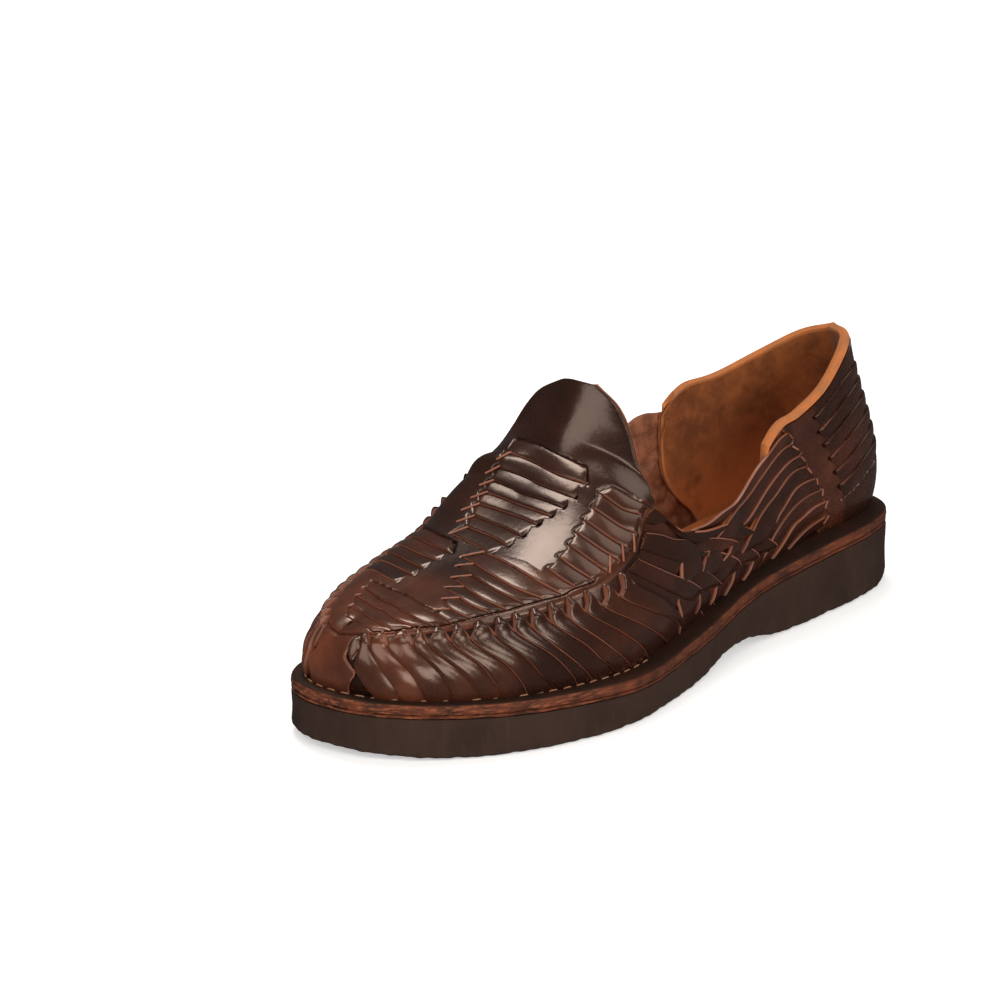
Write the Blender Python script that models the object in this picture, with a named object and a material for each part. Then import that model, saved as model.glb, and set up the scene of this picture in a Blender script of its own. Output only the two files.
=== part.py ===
"""Woven leather slip-on shoe for the left foot, standing on its sole.

Frame: +Z up, toe towards -Y, heel towards +Y, +X the wearer's left (the outer
side of the foot). The origin lies on the ground under the middle of the shoe.
Everything is in metres.

The last is described by "turn", which runs round the sole from 0 at the toe to
1 at the heel back, positive on the outer side and negative on the inner side.
Three rails rise from it: the feather line where the upper meets the sole, the
belt where ribs meet the front panel (further back it is the topline), and the
ridge of the instep. The upper is lofted through those rails.
"""

import math

import bpy
import numpy as np

# driving sizes
LENGTH = 0.290                # outsole, toe to heel
BALL_WIDTH = 0.105            # outsole at the ball of the foot
FOREFOOT_SOLE = 0.0124        # rubber under the ball
HEEL_SOLE = 0.0242            # rubber under the heel
TOE_SPRING = 0.0031           # lift of the rubber at the toe
ARCH_RISE = 0.0050            # lift of the rubber at the waist
MIDSOLE_THICK = 0.0054
INSOLE_THICK = 0.0025
WELT = 0.0080                 # midsole showing outside the upper
INSTEP = 0.0880               # tongue tip above the midsole
COLLAR = 0.0740               # heel collar above the midsole
WALL = 0.0020                 # upper leather
GAP = 0.0003                  # between touching pieces
STRAP_LIFT = 0.0013           # free edge of a strap above the wall
BRAID_LIFT = 0.0012           # braid along the belt above the wall
EDGE_CHAMFER = 0.0010         # lower edge of the rubber
INSOLE_INSET = 0.0022         # insole edge inside the inner face of the upper

# pattern
RIB_FIRST = 0.055             # turn where the ribs start beside the toe cap
RIB_PITCH = 0.033
RIB_COUNT = 15
THROAT = RIB_FIRST + RIB_PITCH * RIB_COUNT    # turn of the corner between tongue and topline
TONGUE_TIP = 0.67
SKIRT_ROWS = 12
QUARTER_START = 0.69          # turn of the front edge of the heel quarter
HEEL_STRAPS = 5
RING_POINTS = 96

# half outlines of the sole as shares of BALL_WIDTH
OUTLINE = [
    # turn, outer side, inner side
    (0.0, -0.134, -0.134),
    (0.1, 0.097, -0.315),
    (0.2, 0.300, -0.416),
    (0.3, 0.460, -0.474),
    (0.4, 0.523, -0.466),
    (0.5, 0.430, -0.364),
    (0.6, 0.322, -0.314),
    (0.7, 0.300, -0.314),
    (0.8, 0.272, -0.289),
    (0.9, 0.187, -0.155),
    (1.0, 0.026, 0.026),
]

# distance of the feather line from the sole edge as shares of WELT
MARGIN = [
    # turn, outer side, inner side
    (0.0, 0.94, 0.94),
    (0.1, 0.88, 0.88),
    (0.2, 0.88, 0.88),
    (0.3, 1.00, 0.88),
    (0.4, 1.35, 1.00),
    (0.5, 1.30, 1.10),
    (0.6, 1.12, 1.12),
    (0.7, 1.40, 1.25),
    (0.8, 1.25, 1.12),
    (0.9, 1.00, 1.00),
    (1.0, 0.62, 0.62),
]

# top of the rubber: share of LENGTH from the toe, share of the way from
# the ball's thickness to the heel's
SOLE_TOP = [
    (0.0, 0.42),
    (0.12, 0.27),
    (0.25, 0.14),
    (0.4, 0.0),
    (0.55, 0.25),
    (0.7, 0.73),
    (0.85, 1.0),
    (1.0, 1.0),
]

# belt on each side: turn, x as a share of BALL_WIDTH, y as a share of LENGTH,
# height above the midsole as a share of COLLAR
BELT_OUTER = [
    (0.0, -0.133, -0.452, 0.25),
    (0.05, -0.076, -0.453, 0.27),
    (0.1, 0.010, -0.443, 0.29),
    (0.2, 0.152, -0.403, 0.325),
    (0.3, 0.276, -0.321, 0.350),
    (0.4, 0.357, -0.214, 0.400),
    (0.45, 0.376, -0.155, 0.456),
    (0.5, 0.352, -0.093, 0.554),
    (0.55, 0.290, -0.036, 0.690),
    (0.575, 0.324, 0.0, 0.545),
    (0.6, 0.319, 0.041, 0.497),
    (0.625, 0.286, 0.097, 0.480),
    (0.65, 0.252, 0.145, 0.465),
    (0.675, 0.233, 0.190, 0.580),
    (0.7, 0.229, 0.224, 0.705),
    (0.75, 0.205, 0.283, 0.735),
    (0.8, 0.195, 0.334, 0.800),
    (0.85, 0.181, 0.372, 0.908),
    (0.9, 0.148, 0.403, 0.990),
    (1.0, 0.0, 0.440, 0.990),
]
BELT_INNER = [
    (0.0, -0.133, -0.452, 0.25),
    (0.05, -0.200, -0.445, 0.26),
    (0.1, -0.267, -0.424, 0.277),
    (0.2, -0.367, -0.359, 0.320),
    (0.3, -0.419, -0.276, 0.380),
    (0.4, -0.419, -0.190, 0.488),
    (0.45, -0.410, -0.162, 0.590),
    (0.5, -0.390, -0.131, 0.690),
    (0.55, -0.367, -0.090, 0.780),
    (0.575, -0.362, -0.028, 0.630),
    (0.6, -0.348, 0.028, 0.545),
    (0.625, -0.329, 0.097, 0.560),
    (0.65, -0.314, 0.148, 0.640),
    (0.675, -0.305, 0.186, 0.690),
    (0.7, -0.295, 0.221, 0.708),
    (0.75, -0.281, 0.269, 0.735),
    (0.8, -0.262, 0.328, 0.770),
    (0.85, -0.224, 0.379, 0.825),
    (0.9, -0.152, 0.417, 0.905),
    (1.0, 0.0, 0.440, 0.990),
]

# ridge of the instep up to the tongue tip: same columns, height as a share of INSTEP
RIDGE = [
    (0.0, -0.143, -0.424, 0.245),
    (0.1, -0.143, -0.400, 0.275),
    (0.2, -0.133, -0.348, 0.325),
    (0.3, -0.114, -0.279, 0.390),
    (0.4, -0.086, -0.200, 0.500),
    (0.45, -0.076, -0.159, 0.570),
    (0.5, -0.076, -0.121, 0.665),
    (0.55, -0.076, -0.093, 0.750),
    (0.6, -0.086, -0.069, 0.845),
    (0.625, -0.086, -0.053, 0.915),
    (0.65, -0.090, -0.038, 0.975),
    (0.67, -0.095, -0.028, 1.020),
]

# free edges of the tongue: same columns as the ridge
TONGUE_OUTER = [
    (0.55, 0.290, -0.036, 0.580),
    (0.575, 0.238, -0.024, 0.655),
    (0.6, 0.190, -0.024, 0.735),
    (0.625, 0.138, -0.022, 0.850),
    (0.65, 0.062, -0.022, 0.955),
    (0.67, -0.029, -0.024, 1.012),
]
TONGUE_INNER = [
    (0.55, -0.367, -0.090, 0.656),
    (0.575, -0.357, -0.066, 0.725),
    (0.6, -0.343, -0.050, 0.800),
    (0.625, -0.314, -0.038, 0.885),
    (0.65, -0.257, -0.031, 0.965),
    (0.67, -0.162, -0.026, 1.012),
]

UP = np.array([0.0, 0.0, 1.0])


def curve_through(place, rows):
    """Cubic through the table's rows, each slope taken from its two neighbours."""
    table = np.array(rows, float)
    knots, values = table[:, 0], table[:, 1:]
    slopes = np.gradient(values, knots, axis=0)
    place = np.asarray(place, float)
    cell = np.clip(np.searchsorted(knots, place, side="right") - 1, 0, len(knots) - 2)
    width = (knots[cell + 1] - knots[cell])[..., None]
    part = np.clip((place - knots[cell])[..., None] / width, 0.0, 1.0)
    return hermite(values[cell], slopes[cell] * width, values[cell + 1], slopes[cell + 1] * width, part)


def hermite(start, leave, end, arrive, part):
    """Cubic from start to end that leaves and arrives along the two given vectors."""
    square, cube = part * part, part * part * part
    return ((2 * cube - 3 * square + 1) * start + (cube - 2 * square + part) * leave
            + (3 * square - 2 * cube) * end + (cube - square) * arrive)


def around(rows, turn):
    """Reads a table of turn, outer side and inner side as one closed curve."""
    table = np.array(rows, float)
    outer = table[:, [0, 1]]
    inner = np.column_stack([-table[:, 0], table[:, 2]])
    before = np.column_stack([outer[-3:-1, 0] - 2.0, outer[-3:-1, 1]])
    after = np.column_stack([inner[-2:-4:-1, 0] + 2.0, inner[-2:-4:-1, 1]])
    closed = np.concatenate([before, inner[:0:-1], outer, after])
    return curve_through(turn, closed)[..., 0]


def ring_turns():
    """Even turns round the sole, the same on both sides so that strips run straight across."""
    half = np.linspace(0.0, 1.0, RING_POINTS // 2 + 1)
    return np.concatenate([half, -half[-2:0:-1]])


def unit(vectors):
    """Vectors brought to length one."""
    return vectors / np.linalg.norm(vectors, axis=-1, keepdims=True)


def outline_middle():
    """Middle of the outline across, as a share of BALL_WIDTH: the frame's X starts there."""
    across = around(OUTLINE, ring_turns())
    return 0.5 * (across.max() + across.min())


def sole_edge(turn):
    """Plan outline of the sole: y is a cosine of the turn, x comes from the table."""
    turn = np.asarray(turn, float)
    x = (around(OUTLINE, turn) - MIDDLE) * BALL_WIDTH
    return np.stack([x, -0.5 * LENGTH * np.cos(math.pi * turn)], -1)


def sole_inset(turn, inset):
    """Outline moved inwards along its own normal."""
    turn = np.asarray(turn, float)
    step = 0.001
    along = unit(sole_edge(turn + step) - sole_edge(turn - step))
    outward = np.stack([along[..., 1], -along[..., 0]], -1)
    return sole_edge(turn) - outward * np.asarray(inset)[..., None]


def length_share(y):
    """Share of the length from the toe."""
    return np.clip(np.asarray(y, float) / LENGTH + 0.5, 0.0, 1.0)


def rubber_top(y):
    """Height of the top of the rubber."""
    share = curve_through(length_share(y), SOLE_TOP)[..., 0]
    return FOREFOOT_SOLE + (HEEL_SOLE - FOREFOOT_SOLE) * share


def ground_face(y):
    """Underside of the rubber: flat at ball and heel, lifted at the waist and the toe."""
    toe_end, waist, waist_half = 0.14, 0.605, 0.125
    share = length_share(y)
    toe = np.clip(1.0 - share / toe_end, 0.0, 1.0) ** 2
    hollow = np.clip(1.0 - ((share - waist) / waist_half) ** 2, 0.0, 1.0) ** 2
    return TOE_SPRING * toe + ARCH_RISE * hollow


def midsole_top(y):
    """Face on which the upper and the insole stand."""
    return rubber_top(y) + MIDSOLE_THICK


def feather(turn):
    """Line where the upper meets the midsole."""
    plan = sole_inset(turn, around(MARGIN, turn) * WELT)
    return np.concatenate([plan, (midsole_top(plan[..., 1]) + GAP)[..., None]], -1)


def rail(rows, turn, height):
    """Rail from its table, set on the midsole."""
    share = curve_through(np.abs(turn), rows)
    x, y = (share[..., 0] - MIDDLE) * BALL_WIDTH, share[..., 1] * LENGTH
    base = midsole_top(y)
    return np.stack([x, y, base + share[..., 2] * height], -1)


def side_rail(outer_rows, inner_rows, turn, height):
    """Rail that differs between the outer and the inner side."""
    turn = np.asarray(turn, float)
    outer = rail(outer_rows, turn, height)
    inner = rail(inner_rows, turn, height)
    return np.where(turn[..., None] >= 0, outer, inner)


def belt(turn):
    """Belt of the vamp, and the topline behind the throat."""
    return side_rail(BELT_OUTER, BELT_INNER, turn, COLLAR)


def ridge(turn):
    """Crest of the instep and the tongue."""
    return rail(RIDGE, np.minimum(np.abs(turn), TONGUE_TIP), INSTEP)


def tongue_edge(turn):
    """Free edge of the tongue."""
    return side_rail(TONGUE_OUTER, TONGUE_INNER, turn, INSTEP)


def belt_direction(turn):
    """Direction in which the wall passes the belt: over the instep in front, upright behind."""
    low, high = feather(turn), belt(turn)
    over = unit(unit(high - low) + unit(ridge(turn) - high))
    upright = unit(unit(high - low) + 0.35 * UP)
    blend = np.clip((np.abs(turn) - THROAT + 0.02) / 0.06, 0.0, 1.0)[..., None]
    blend = blend * blend * (3 - 2 * blend)
    return unit(over * (1 - blend) + upright * blend)


def skirt(turn, rise):
    """Wall from the feather line (rise 0) to the belt (rise 1)."""
    low, high = feather(turn), belt(turn)
    size = np.linalg.norm(high - low, axis=-1, keepdims=True)
    plan = unit(sole_edge(turn) - sole_inset(turn, WELT))
    outward = np.concatenate([plan, np.zeros(plan.shape[:-1] + (1,))], -1)
    leave = unit(UP + 0.35 * outward) * size
    arrive = belt_direction(turn) * size
    return hermite(low, leave, high, arrive, np.asarray(rise)[..., None])


def panel(turn, rise):
    """Front panel and tongue from the belt or the tongue's edge (rise 0) to the ridge (rise 1)."""
    turn = np.asarray(turn, float)
    behind = (np.abs(turn) > THROAT)[..., None]
    start = np.where(behind, tongue_edge(turn), belt(turn))
    crest = ridge(turn)
    size = np.linalg.norm(crest - start, axis=-1, keepdims=True)
    blend = np.clip((np.abs(turn) - THROAT) / 0.05, 0.0, 1.0)[..., None]
    front = belt_direction(np.clip(turn, -THROAT, THROAT))
    leave = unit(front * (1 - blend) + unit(crest - start) * blend) * size
    inward = np.stack([-np.sign(turn), 0 * turn, 0 * turn], -1)
    return hermite(start, leave, crest, inward * size, np.asarray(rise)[..., None])


def rib_wave(turn):
    """Height of lapped strips along the turn: each climbs towards its rear edge and drops."""
    phase = (np.abs(turn) - RIB_FIRST) / RIB_PITCH
    share = phase - np.floor(phase)
    inside = (np.abs(turn) >= RIB_FIRST) & (np.abs(turn) <= THROAT + 1e-6)
    return np.where(inside, np.clip(share / 0.85, 0.0, 1.0) * (share < 0.93), 0.6)


def skirt_relief(turn, rise):
    """Ribs in front, woven sides in the middle, straps lapped upwards round the heel."""
    size = np.abs(turn)
    ribs = rib_wave(turn)
    braid = np.exp(-((rise - 1.0) / 0.08) ** 2) * (size > RIB_FIRST) * (size < THROAT)
    steps = (rise * SKIRT_ROWS).round().astype(int)
    heel = np.where(steps >= SKIRT_ROWS - 2 * HEEL_STRAPS, (steps % 2) * 1.0, 0.5)
    weave = ((np.floor(size / (RIB_PITCH / 2)).astype(int) + steps // 2) % 2) * 1.0
    lift = np.where(size <= THROAT, ribs, np.where(size < QUARTER_START, weave, heel))
    rim = (rise > 0.99) & (size > THROAT)
    lift = np.where(rim, 0.3, lift)
    return lift * STRAP_LIFT + braid * BRAID_LIFT


def panel_relief(turn, rise):
    """Strap rows across the panel, with the smooth spine, band and tongue between them."""
    size = np.abs(turn)
    outer = np.asarray(turn) > 0
    band = rise < 0.2
    spine = outer & (rise > 0.45) & (rise < 0.8) & (size > 0.33)
    patch = (rise > 0.6) & (size > 0.2) & (size < 0.31)
    toe_cap = size < 0.12
    tongue = size > 0.52
    plain = band | spine | patch | toe_cap | tongue
    return np.where(plain, 0.75, rib_wave(turn)) * STRAP_LIFT


def shell_columns():
    """Turns of the grid's columns: three to a rib, then even steps to the heel."""
    toe = np.array([0.0, RIB_FIRST * 0.5])
    ribs = RIB_FIRST + RIB_PITCH * (np.arange(RIB_COUNT)[:, None] + np.array([0.0, 0.5, 0.88])).ravel()
    side = THROAT + (QUARTER_START - THROAT) * np.arange(10) / 10
    quarter = QUARTER_START + (1.0 - QUARTER_START) * np.arange(15) / 14
    return np.concatenate([toe, ribs, side, quarter])


def build_upper():
    """One hollow wall: outer grid with its strips raised, inner grid a wall further in."""
    half = shell_columns()
    turns = np.concatenate([-half[:0:-1], half[:-1]])
    rows = np.linspace(0.0, 1.0, SKIRT_ROWS + 1)
    crest_rows = np.array([0.0, 0.2, 0.4, 0.6, 0.8, 1.0])
    vamp = np.abs(turns) <= THROAT + 1e-6
    tongue_half = THROAT + (TONGUE_TIP - THROAT) * np.arange(1, 6) / 5
    tongue_turns = np.concatenate([-tongue_half[::-1], tongue_half])

    turn_grid, rise_grid = np.meshgrid(turns, rows, indexing="ij")
    panel_turns = np.concatenate([turns[vamp], tongue_turns])
    order = np.argsort(panel_turns, kind="stable")
    panel_turns = panel_turns[order]
    p_turn, p_rise = np.meshgrid(panel_turns, crest_rows, indexing="ij")

    base = [skirt(turn_grid, rise_grid), panel(p_turn, p_rise)]
    lift = [skirt_relief(turn_grid, rise_grid), panel_relief(p_turn, p_rise)]
    normal = [grid_normals(base[0], True), grid_normals(base[1], False)]

    # number the points: skirt first, then the panel rows above the belt
    skirt_ids = np.arange(turn_grid.size).reshape(turn_grid.shape)
    panel_ids = np.arange(p_turn.size).reshape(p_turn.shape) + turn_grid.size
    column_of = {round(t, 6): i for i, t in enumerate(turns)}
    middle = len(panel_turns) // 2
    for i, t in enumerate(panel_turns):
        if abs(t) <= THROAT + 1e-6:
            panel_ids[i, 0] = skirt_ids[column_of[round(t, 6)], -1]
        if i > middle:
            panel_ids[i, -1] = panel_ids[2 * middle - i, -1]

    quads = np.concatenate([grid_quads(skirt_ids, True), grid_quads(panel_ids, False)])
    points = np.concatenate([base[0].reshape(-1, 3), base[1].reshape(-1, 3)])
    normals = np.concatenate([normal[0].reshape(-1, 3), normal[1].reshape(-1, 3)])
    lifts = np.concatenate([lift[0].ravel(), lift[1].ravel()])
    beside_ridge = normal[1][:, -2]
    normals[panel_ids[:, -1]] = unit(beside_ridge + beside_ridge[::-1])
    feather_line = skirt_ids[:, 0]
    normals[feather_line] = unit(normals[feather_line] * [1.0, 1.0, 0.0])
    quads = quads[~gap_cells(quads, turn_grid, rise_grid)]
    thicken("upper", points, normals, lifts, quads, material("woven leather", (0.085, 0.026, 0.016), 0.32))


def gap_cells(quads, turn_grid, rise_grid):
    """Cells left open between the side straps, in front of the quarter."""
    size = np.abs(turn_grid).ravel()
    rise = rise_grid.ravel()
    known = (quads < size.size).all(axis=1)
    safe = np.where(known[:, None], quads, 0)
    place = size[safe].mean(axis=1)
    height = rise[safe].mean(axis=1)
    column = np.floor((place - THROAT) / ((QUARTER_START - THROAT) / 10)).astype(int)
    row = np.floor(height * SKIRT_ROWS).astype(int)
    zone = (place > THROAT) & (place < QUARTER_START) & (row >= 3) & (row <= 9)
    return known & zone & (column % 3 == 1) & (row % 3 == 0)


def grid_normals(grid, closed):
    """Outward unit normals of a grid of points, from the slopes along both of its ways."""
    if closed:
        along = np.roll(grid, -1, axis=0) - np.roll(grid, 1, axis=0)
    else:
        along = np.gradient(grid, axis=0)
    across = np.gradient(grid, axis=1)
    cross = np.cross(along, across)
    size = np.linalg.norm(cross, axis=-1, keepdims=True)
    return cross / np.maximum(size, 1e-12)


def grid_quads(ids, closed):
    """Quads of a grid of point numbers, turned to face outwards."""
    if closed:
        ids = np.concatenate([ids, ids[:1]])
    quads = np.stack([ids[:-1, :-1], ids[1:, :-1], ids[1:, 1:], ids[:-1, 1:]], -1)
    return quads.reshape(-1, 4)


def thicken(name, points, normals, lifts, quads, finish):
    """Closed wall between the raised outer grid and the plain inner one, rimmed at every edge."""
    used = np.unique(quads)
    new_id = np.full(len(points), -1)
    new_id[used] = np.arange(len(used))
    quads = new_id[quads]
    points, normals, lifts = points[used], normals[used], lifts[used]
    outer = points + normals * lifts[:, None]
    inner = points - normals * WALL
    count = len(points)
    edges = np.concatenate([quads[:, [i, (i + 1) % 4]] for i in range(4)])
    edges = edges[edges[:, 0] != edges[:, 1]]
    forward = {(int(a), int(b)) for a, b in edges}
    rim = [(a, b) for a, b in forward if (b, a) not in forward]
    faces = [tidy_face(quad) for quad in quads.tolist()]
    faces = [face for face in faces if len(face) > 2]
    inside = [[vertex + count for vertex in reversed(face)] for face in faces]
    walls = [[b, a, a + count, b + count] for a, b in sorted(rim)]
    add_mesh(name, np.concatenate([outer, inner]), faces + inside + walls, finish)


def tidy_face(face):
    """Face without repeated corners."""
    return [corner for i, corner in enumerate(face) if corner != face[i - 1]]


def add_mesh(name, points, faces, finish):
    """New object in the scene, its faces cut to triangles."""
    mesh = bpy.data.meshes.new(name)
    mesh.from_pydata(np.asarray(points).tolist(), [], faces)
    mesh.materials.append(finish)
    mesh.validate()
    mesh.shade_smooth()
    mesh.set_sharp_from_angle(angle=math.radians(35))
    piece = bpy.data.objects.new(name, mesh)
    bpy.context.scene.collection.objects.link(piece)
    return piece


def material(name, colour, roughness):
    """Plain finish with the leather's or rubber's colour."""
    finish = bpy.data.materials.new(name)
    finish.use_nodes = True
    shader = finish.node_tree.nodes["Principled BSDF"]
    shader.inputs["Base Color"].default_value = (*colour, 1.0)
    shader.inputs["Roughness"].default_value = roughness
    return finish


def slab(name, levels, finish):
    """Sole layer: outline rings stacked from the bottom up, closed by strips straight across.

    Each level is an inset, which may vary round the ring, and a height as a function of y.
    """
    turns = ring_turns()
    count = len(turns)
    rings = []
    for inset, height in levels:
        plan = sole_inset(turns, np.broadcast_to(inset, turns.shape))
        rings.append(np.column_stack([plan, height(plan[:, 1])]))
    faces = []
    for level in range(len(rings) - 1):
        for i in range(count):
            low, low_next = level * count + i, level * count + (i + 1) % count
            faces.append([low, low_next, low_next + count, low + count])
    top = (len(rings) - 1) * count
    for i in range(count // 2):
        ahead, behind = i, i + 1
        mirror_ahead, mirror_behind = (count - ahead) % count, count - behind
        strip = [ahead, mirror_ahead, mirror_behind, behind]
        faces.append(tidy_face(strip))
        faces.append(tidy_face([top + corner for corner in reversed(strip)]))
    return add_mesh(name, np.concatenate(rings), faces, finish)


def build_sole():
    """Rubber outsole, leather midsole with its welt, and the insole inside the upper."""
    rubber = material("dark brown rubber", (0.036, 0.020, 0.015), 0.75)
    edge = material("stained leather edge", (0.23, 0.075, 0.032), 0.5)
    board = material("tan leather", (0.30, 0.14, 0.06), 0.7)
    slab("outsole", [
        (EDGE_CHAMFER, ground_face),
        (0.0, lambda y: ground_face(y) + EDGE_CHAMFER),
        (0.0, rubber_top),
    ], rubber)
    slab("midsole", [
        (0.0, lambda y: rubber_top(y) + GAP),
        (0.0, midsole_top),
    ], edge)
    inside = around(MARGIN, ring_turns()) * WELT + WALL + INSOLE_INSET
    slab("insole", [
        (inside, lambda y: midsole_top(y) + GAP),
        (inside, lambda y: midsole_top(y) + GAP + INSOLE_THICK),
    ], board)


def clear_scene():
    """Empties the scene."""
    for thing in list(bpy.data.objects):
        bpy.data.objects.remove(thing)


MIDDLE = outline_middle()
clear_scene()
build_sole()
build_upper()
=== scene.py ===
"""Looks of a woven leather slip-on shoe for the left foot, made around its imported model.

Frame: metres, +Z up, toe towards -Y, heel towards +Y, +X the outer side.

Places round the shoe are given by "turn": 0 at the toe and 1 at the heel back, positive on
the outer side and negative on the inner side. Two charts carry all that is sewn on:
skirt(turn, rise) climbs from the sole (0) to the belt or the topline (1), and
over(turn, cross) spans the instep from the outer belt (-1) over the ridge (0) to the
inner belt (1). Straps are strips between two seams drawn on a chart.
"""

import math

import bpy
import numpy as np
from mathutils import Matrix


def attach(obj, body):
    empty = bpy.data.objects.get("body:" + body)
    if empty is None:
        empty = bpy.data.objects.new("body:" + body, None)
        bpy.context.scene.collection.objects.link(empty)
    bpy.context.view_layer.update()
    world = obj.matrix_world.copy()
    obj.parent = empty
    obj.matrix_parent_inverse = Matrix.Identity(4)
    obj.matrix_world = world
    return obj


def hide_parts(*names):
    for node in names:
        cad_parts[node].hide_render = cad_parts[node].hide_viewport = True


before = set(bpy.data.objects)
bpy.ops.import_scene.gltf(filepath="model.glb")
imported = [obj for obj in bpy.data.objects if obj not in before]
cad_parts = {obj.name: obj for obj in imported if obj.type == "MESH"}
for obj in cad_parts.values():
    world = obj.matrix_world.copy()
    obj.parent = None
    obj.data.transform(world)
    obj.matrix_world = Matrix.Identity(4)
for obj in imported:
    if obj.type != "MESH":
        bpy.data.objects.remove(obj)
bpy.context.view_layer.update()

LENGTH = 0.290                # outsole, toe to heel
BALL_WIDTH = 0.105            # outsole at the ball of the foot
FOREFOOT_SOLE = 0.0124        # rubber under the ball
HEEL_SOLE = 0.0242            # rubber under the heel
TOE_SPRING = 0.0031           # lift of the rubber at the toe
ARCH_RISE = 0.0050            # lift of the rubber at the waist
MIDSOLE_THICK = 0.0054
INSOLE_THICK = 0.0025
WELT = 0.0080                 # midsole showing outside the upper
INSTEP = 0.0880               # tongue tip above the midsole
COLLAR = 0.0740               # heel collar above the midsole
WALL = 0.0020                 # upper leather
GAP = 0.0003                  # between touching pieces

TOE_END = 0.14                # share of the length over which the toe lifts
WAIST = 0.605                 # middle of the waist, share of the length
WAIST_HALF = 0.125
RING_POINTS = 96
THROAT = 0.55                 # turn of the corner between tongue and topline
TONGUE_TIP = 0.67

# half outlines of the sole as shares of BALL_WIDTH
OUTLINE = [
    # turn, outer side, inner side
    (0.0, -0.134, -0.134),
    (0.1, 0.097, -0.315),
    (0.2, 0.300, -0.416),
    (0.3, 0.460, -0.474),
    (0.4, 0.523, -0.466),
    (0.5, 0.430, -0.364),
    (0.6, 0.322, -0.314),
    (0.7, 0.300, -0.314),
    (0.8, 0.272, -0.289),
    (0.9, 0.187, -0.155),
    (1.0, 0.026, 0.026),
]

# distance of the feather line from the sole edge as shares of WELT
MARGIN = [
    # turn, outer side, inner side
    (0.0, 0.94, 0.94),
    (0.1, 0.88, 0.88),
    (0.2, 0.88, 0.88),
    (0.3, 1.00, 0.88),
    (0.4, 1.35, 1.00),
    (0.5, 1.30, 1.10),
    (0.6, 1.12, 1.12),
    (0.7, 1.40, 1.25),
    (0.8, 1.25, 1.12),
    (0.9, 1.00, 1.00),
    (1.0, 0.62, 0.62),
]

# top of the rubber: share of LENGTH from the toe, share of the way from
# the ball's thickness to the heel's
SOLE_TOP = [
    (0.0, 0.42),
    (0.12, 0.27),
    (0.25, 0.14),
    (0.4, 0.0),
    (0.55, 0.25),
    (0.7, 0.73),
    (0.85, 1.0),
    (1.0, 1.0),
]

# belt on each side: turn, x as a share of BALL_WIDTH, y as a share of LENGTH,
# height above the midsole as a share of COLLAR
BELT_OUTER = [
    (0.0, -0.133, -0.452, 0.25),
    (0.05, -0.076, -0.453, 0.27),
    (0.1, 0.010, -0.443, 0.29),
    (0.2, 0.152, -0.403, 0.325),
    (0.3, 0.276, -0.321, 0.350),
    (0.4, 0.357, -0.214, 0.400),
    (0.45, 0.376, -0.155, 0.456),
    (0.5, 0.352, -0.093, 0.554),
    (0.55, 0.290, -0.036, 0.690),
    (0.575, 0.324, 0.0, 0.545),
    (0.6, 0.319, 0.041, 0.497),
    (0.625, 0.286, 0.097, 0.480),
    (0.65, 0.252, 0.145, 0.465),
    (0.675, 0.233, 0.190, 0.580),
    (0.7, 0.229, 0.224, 0.705),
    (0.75, 0.205, 0.283, 0.735),
    (0.8, 0.195, 0.334, 0.800),
    (0.85, 0.181, 0.372, 0.908),
    (0.9, 0.148, 0.403, 0.990),
    (1.0, 0.0, 0.440, 0.990),
]
BELT_INNER = [
    (0.0, -0.133, -0.452, 0.25),
    (0.05, -0.200, -0.445, 0.26),
    (0.1, -0.267, -0.424, 0.277),
    (0.2, -0.367, -0.359, 0.320),
    (0.3, -0.419, -0.276, 0.380),
    (0.4, -0.419, -0.190, 0.488),
    (0.45, -0.410, -0.162, 0.590),
    (0.5, -0.390, -0.131, 0.690),
    (0.55, -0.367, -0.090, 0.780),
    (0.575, -0.362, -0.028, 0.630),
    (0.6, -0.348, 0.028, 0.545),
    (0.625, -0.329, 0.097, 0.560),
    (0.65, -0.314, 0.148, 0.640),
    (0.675, -0.305, 0.186, 0.690),
    (0.7, -0.295, 0.221, 0.708),
    (0.75, -0.281, 0.269, 0.735),
    (0.8, -0.262, 0.328, 0.770),
    (0.85, -0.224, 0.379, 0.825),
    (0.9, -0.152, 0.417, 0.905),
    (1.0, 0.0, 0.440, 0.990),
]

# ridge of the instep up to the tongue tip: same columns, height as a share of INSTEP
RIDGE = [
    (0.0, -0.143, -0.424, 0.245),
    (0.1, -0.143, -0.400, 0.275),
    (0.2, -0.133, -0.348, 0.325),
    (0.3, -0.114, -0.279, 0.390),
    (0.4, -0.086, -0.200, 0.500),
    (0.45, -0.076, -0.159, 0.570),
    (0.5, -0.076, -0.121, 0.665),
    (0.55, -0.076, -0.093, 0.750),
    (0.6, -0.086, -0.069, 0.845),
    (0.625, -0.086, -0.053, 0.915),
    (0.65, -0.090, -0.038, 0.988),
    (0.67, -0.095, -0.028, 1.040),
]

# free edges of the tongue: same columns as the ridge
TONGUE_OUTER = [
    (0.55, 0.290, -0.036, 0.580),
    (0.575, 0.238, -0.024, 0.655),
    (0.6, 0.190, -0.024, 0.735),
    (0.625, 0.143, -0.022, 0.862),
    (0.65, 0.072, -0.022, 0.975),
    (0.67, -0.022, -0.024, 1.038),
]
TONGUE_INNER = [
    (0.55, -0.367, -0.090, 0.656),
    (0.575, -0.357, -0.066, 0.725),
    (0.6, -0.343, -0.050, 0.800),
    (0.625, -0.314, -0.038, 0.885),
    (0.65, -0.257, -0.031, 0.965),
    (0.67, -0.162, -0.026, 1.026),
]

UP = np.array([0.0, 0.0, 1.0])
LEAN_OUT = 0.35         # outward share in the wall's direction at the sole
STAND_UP = 0.35         # upward share added to its direction at the topline


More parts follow.
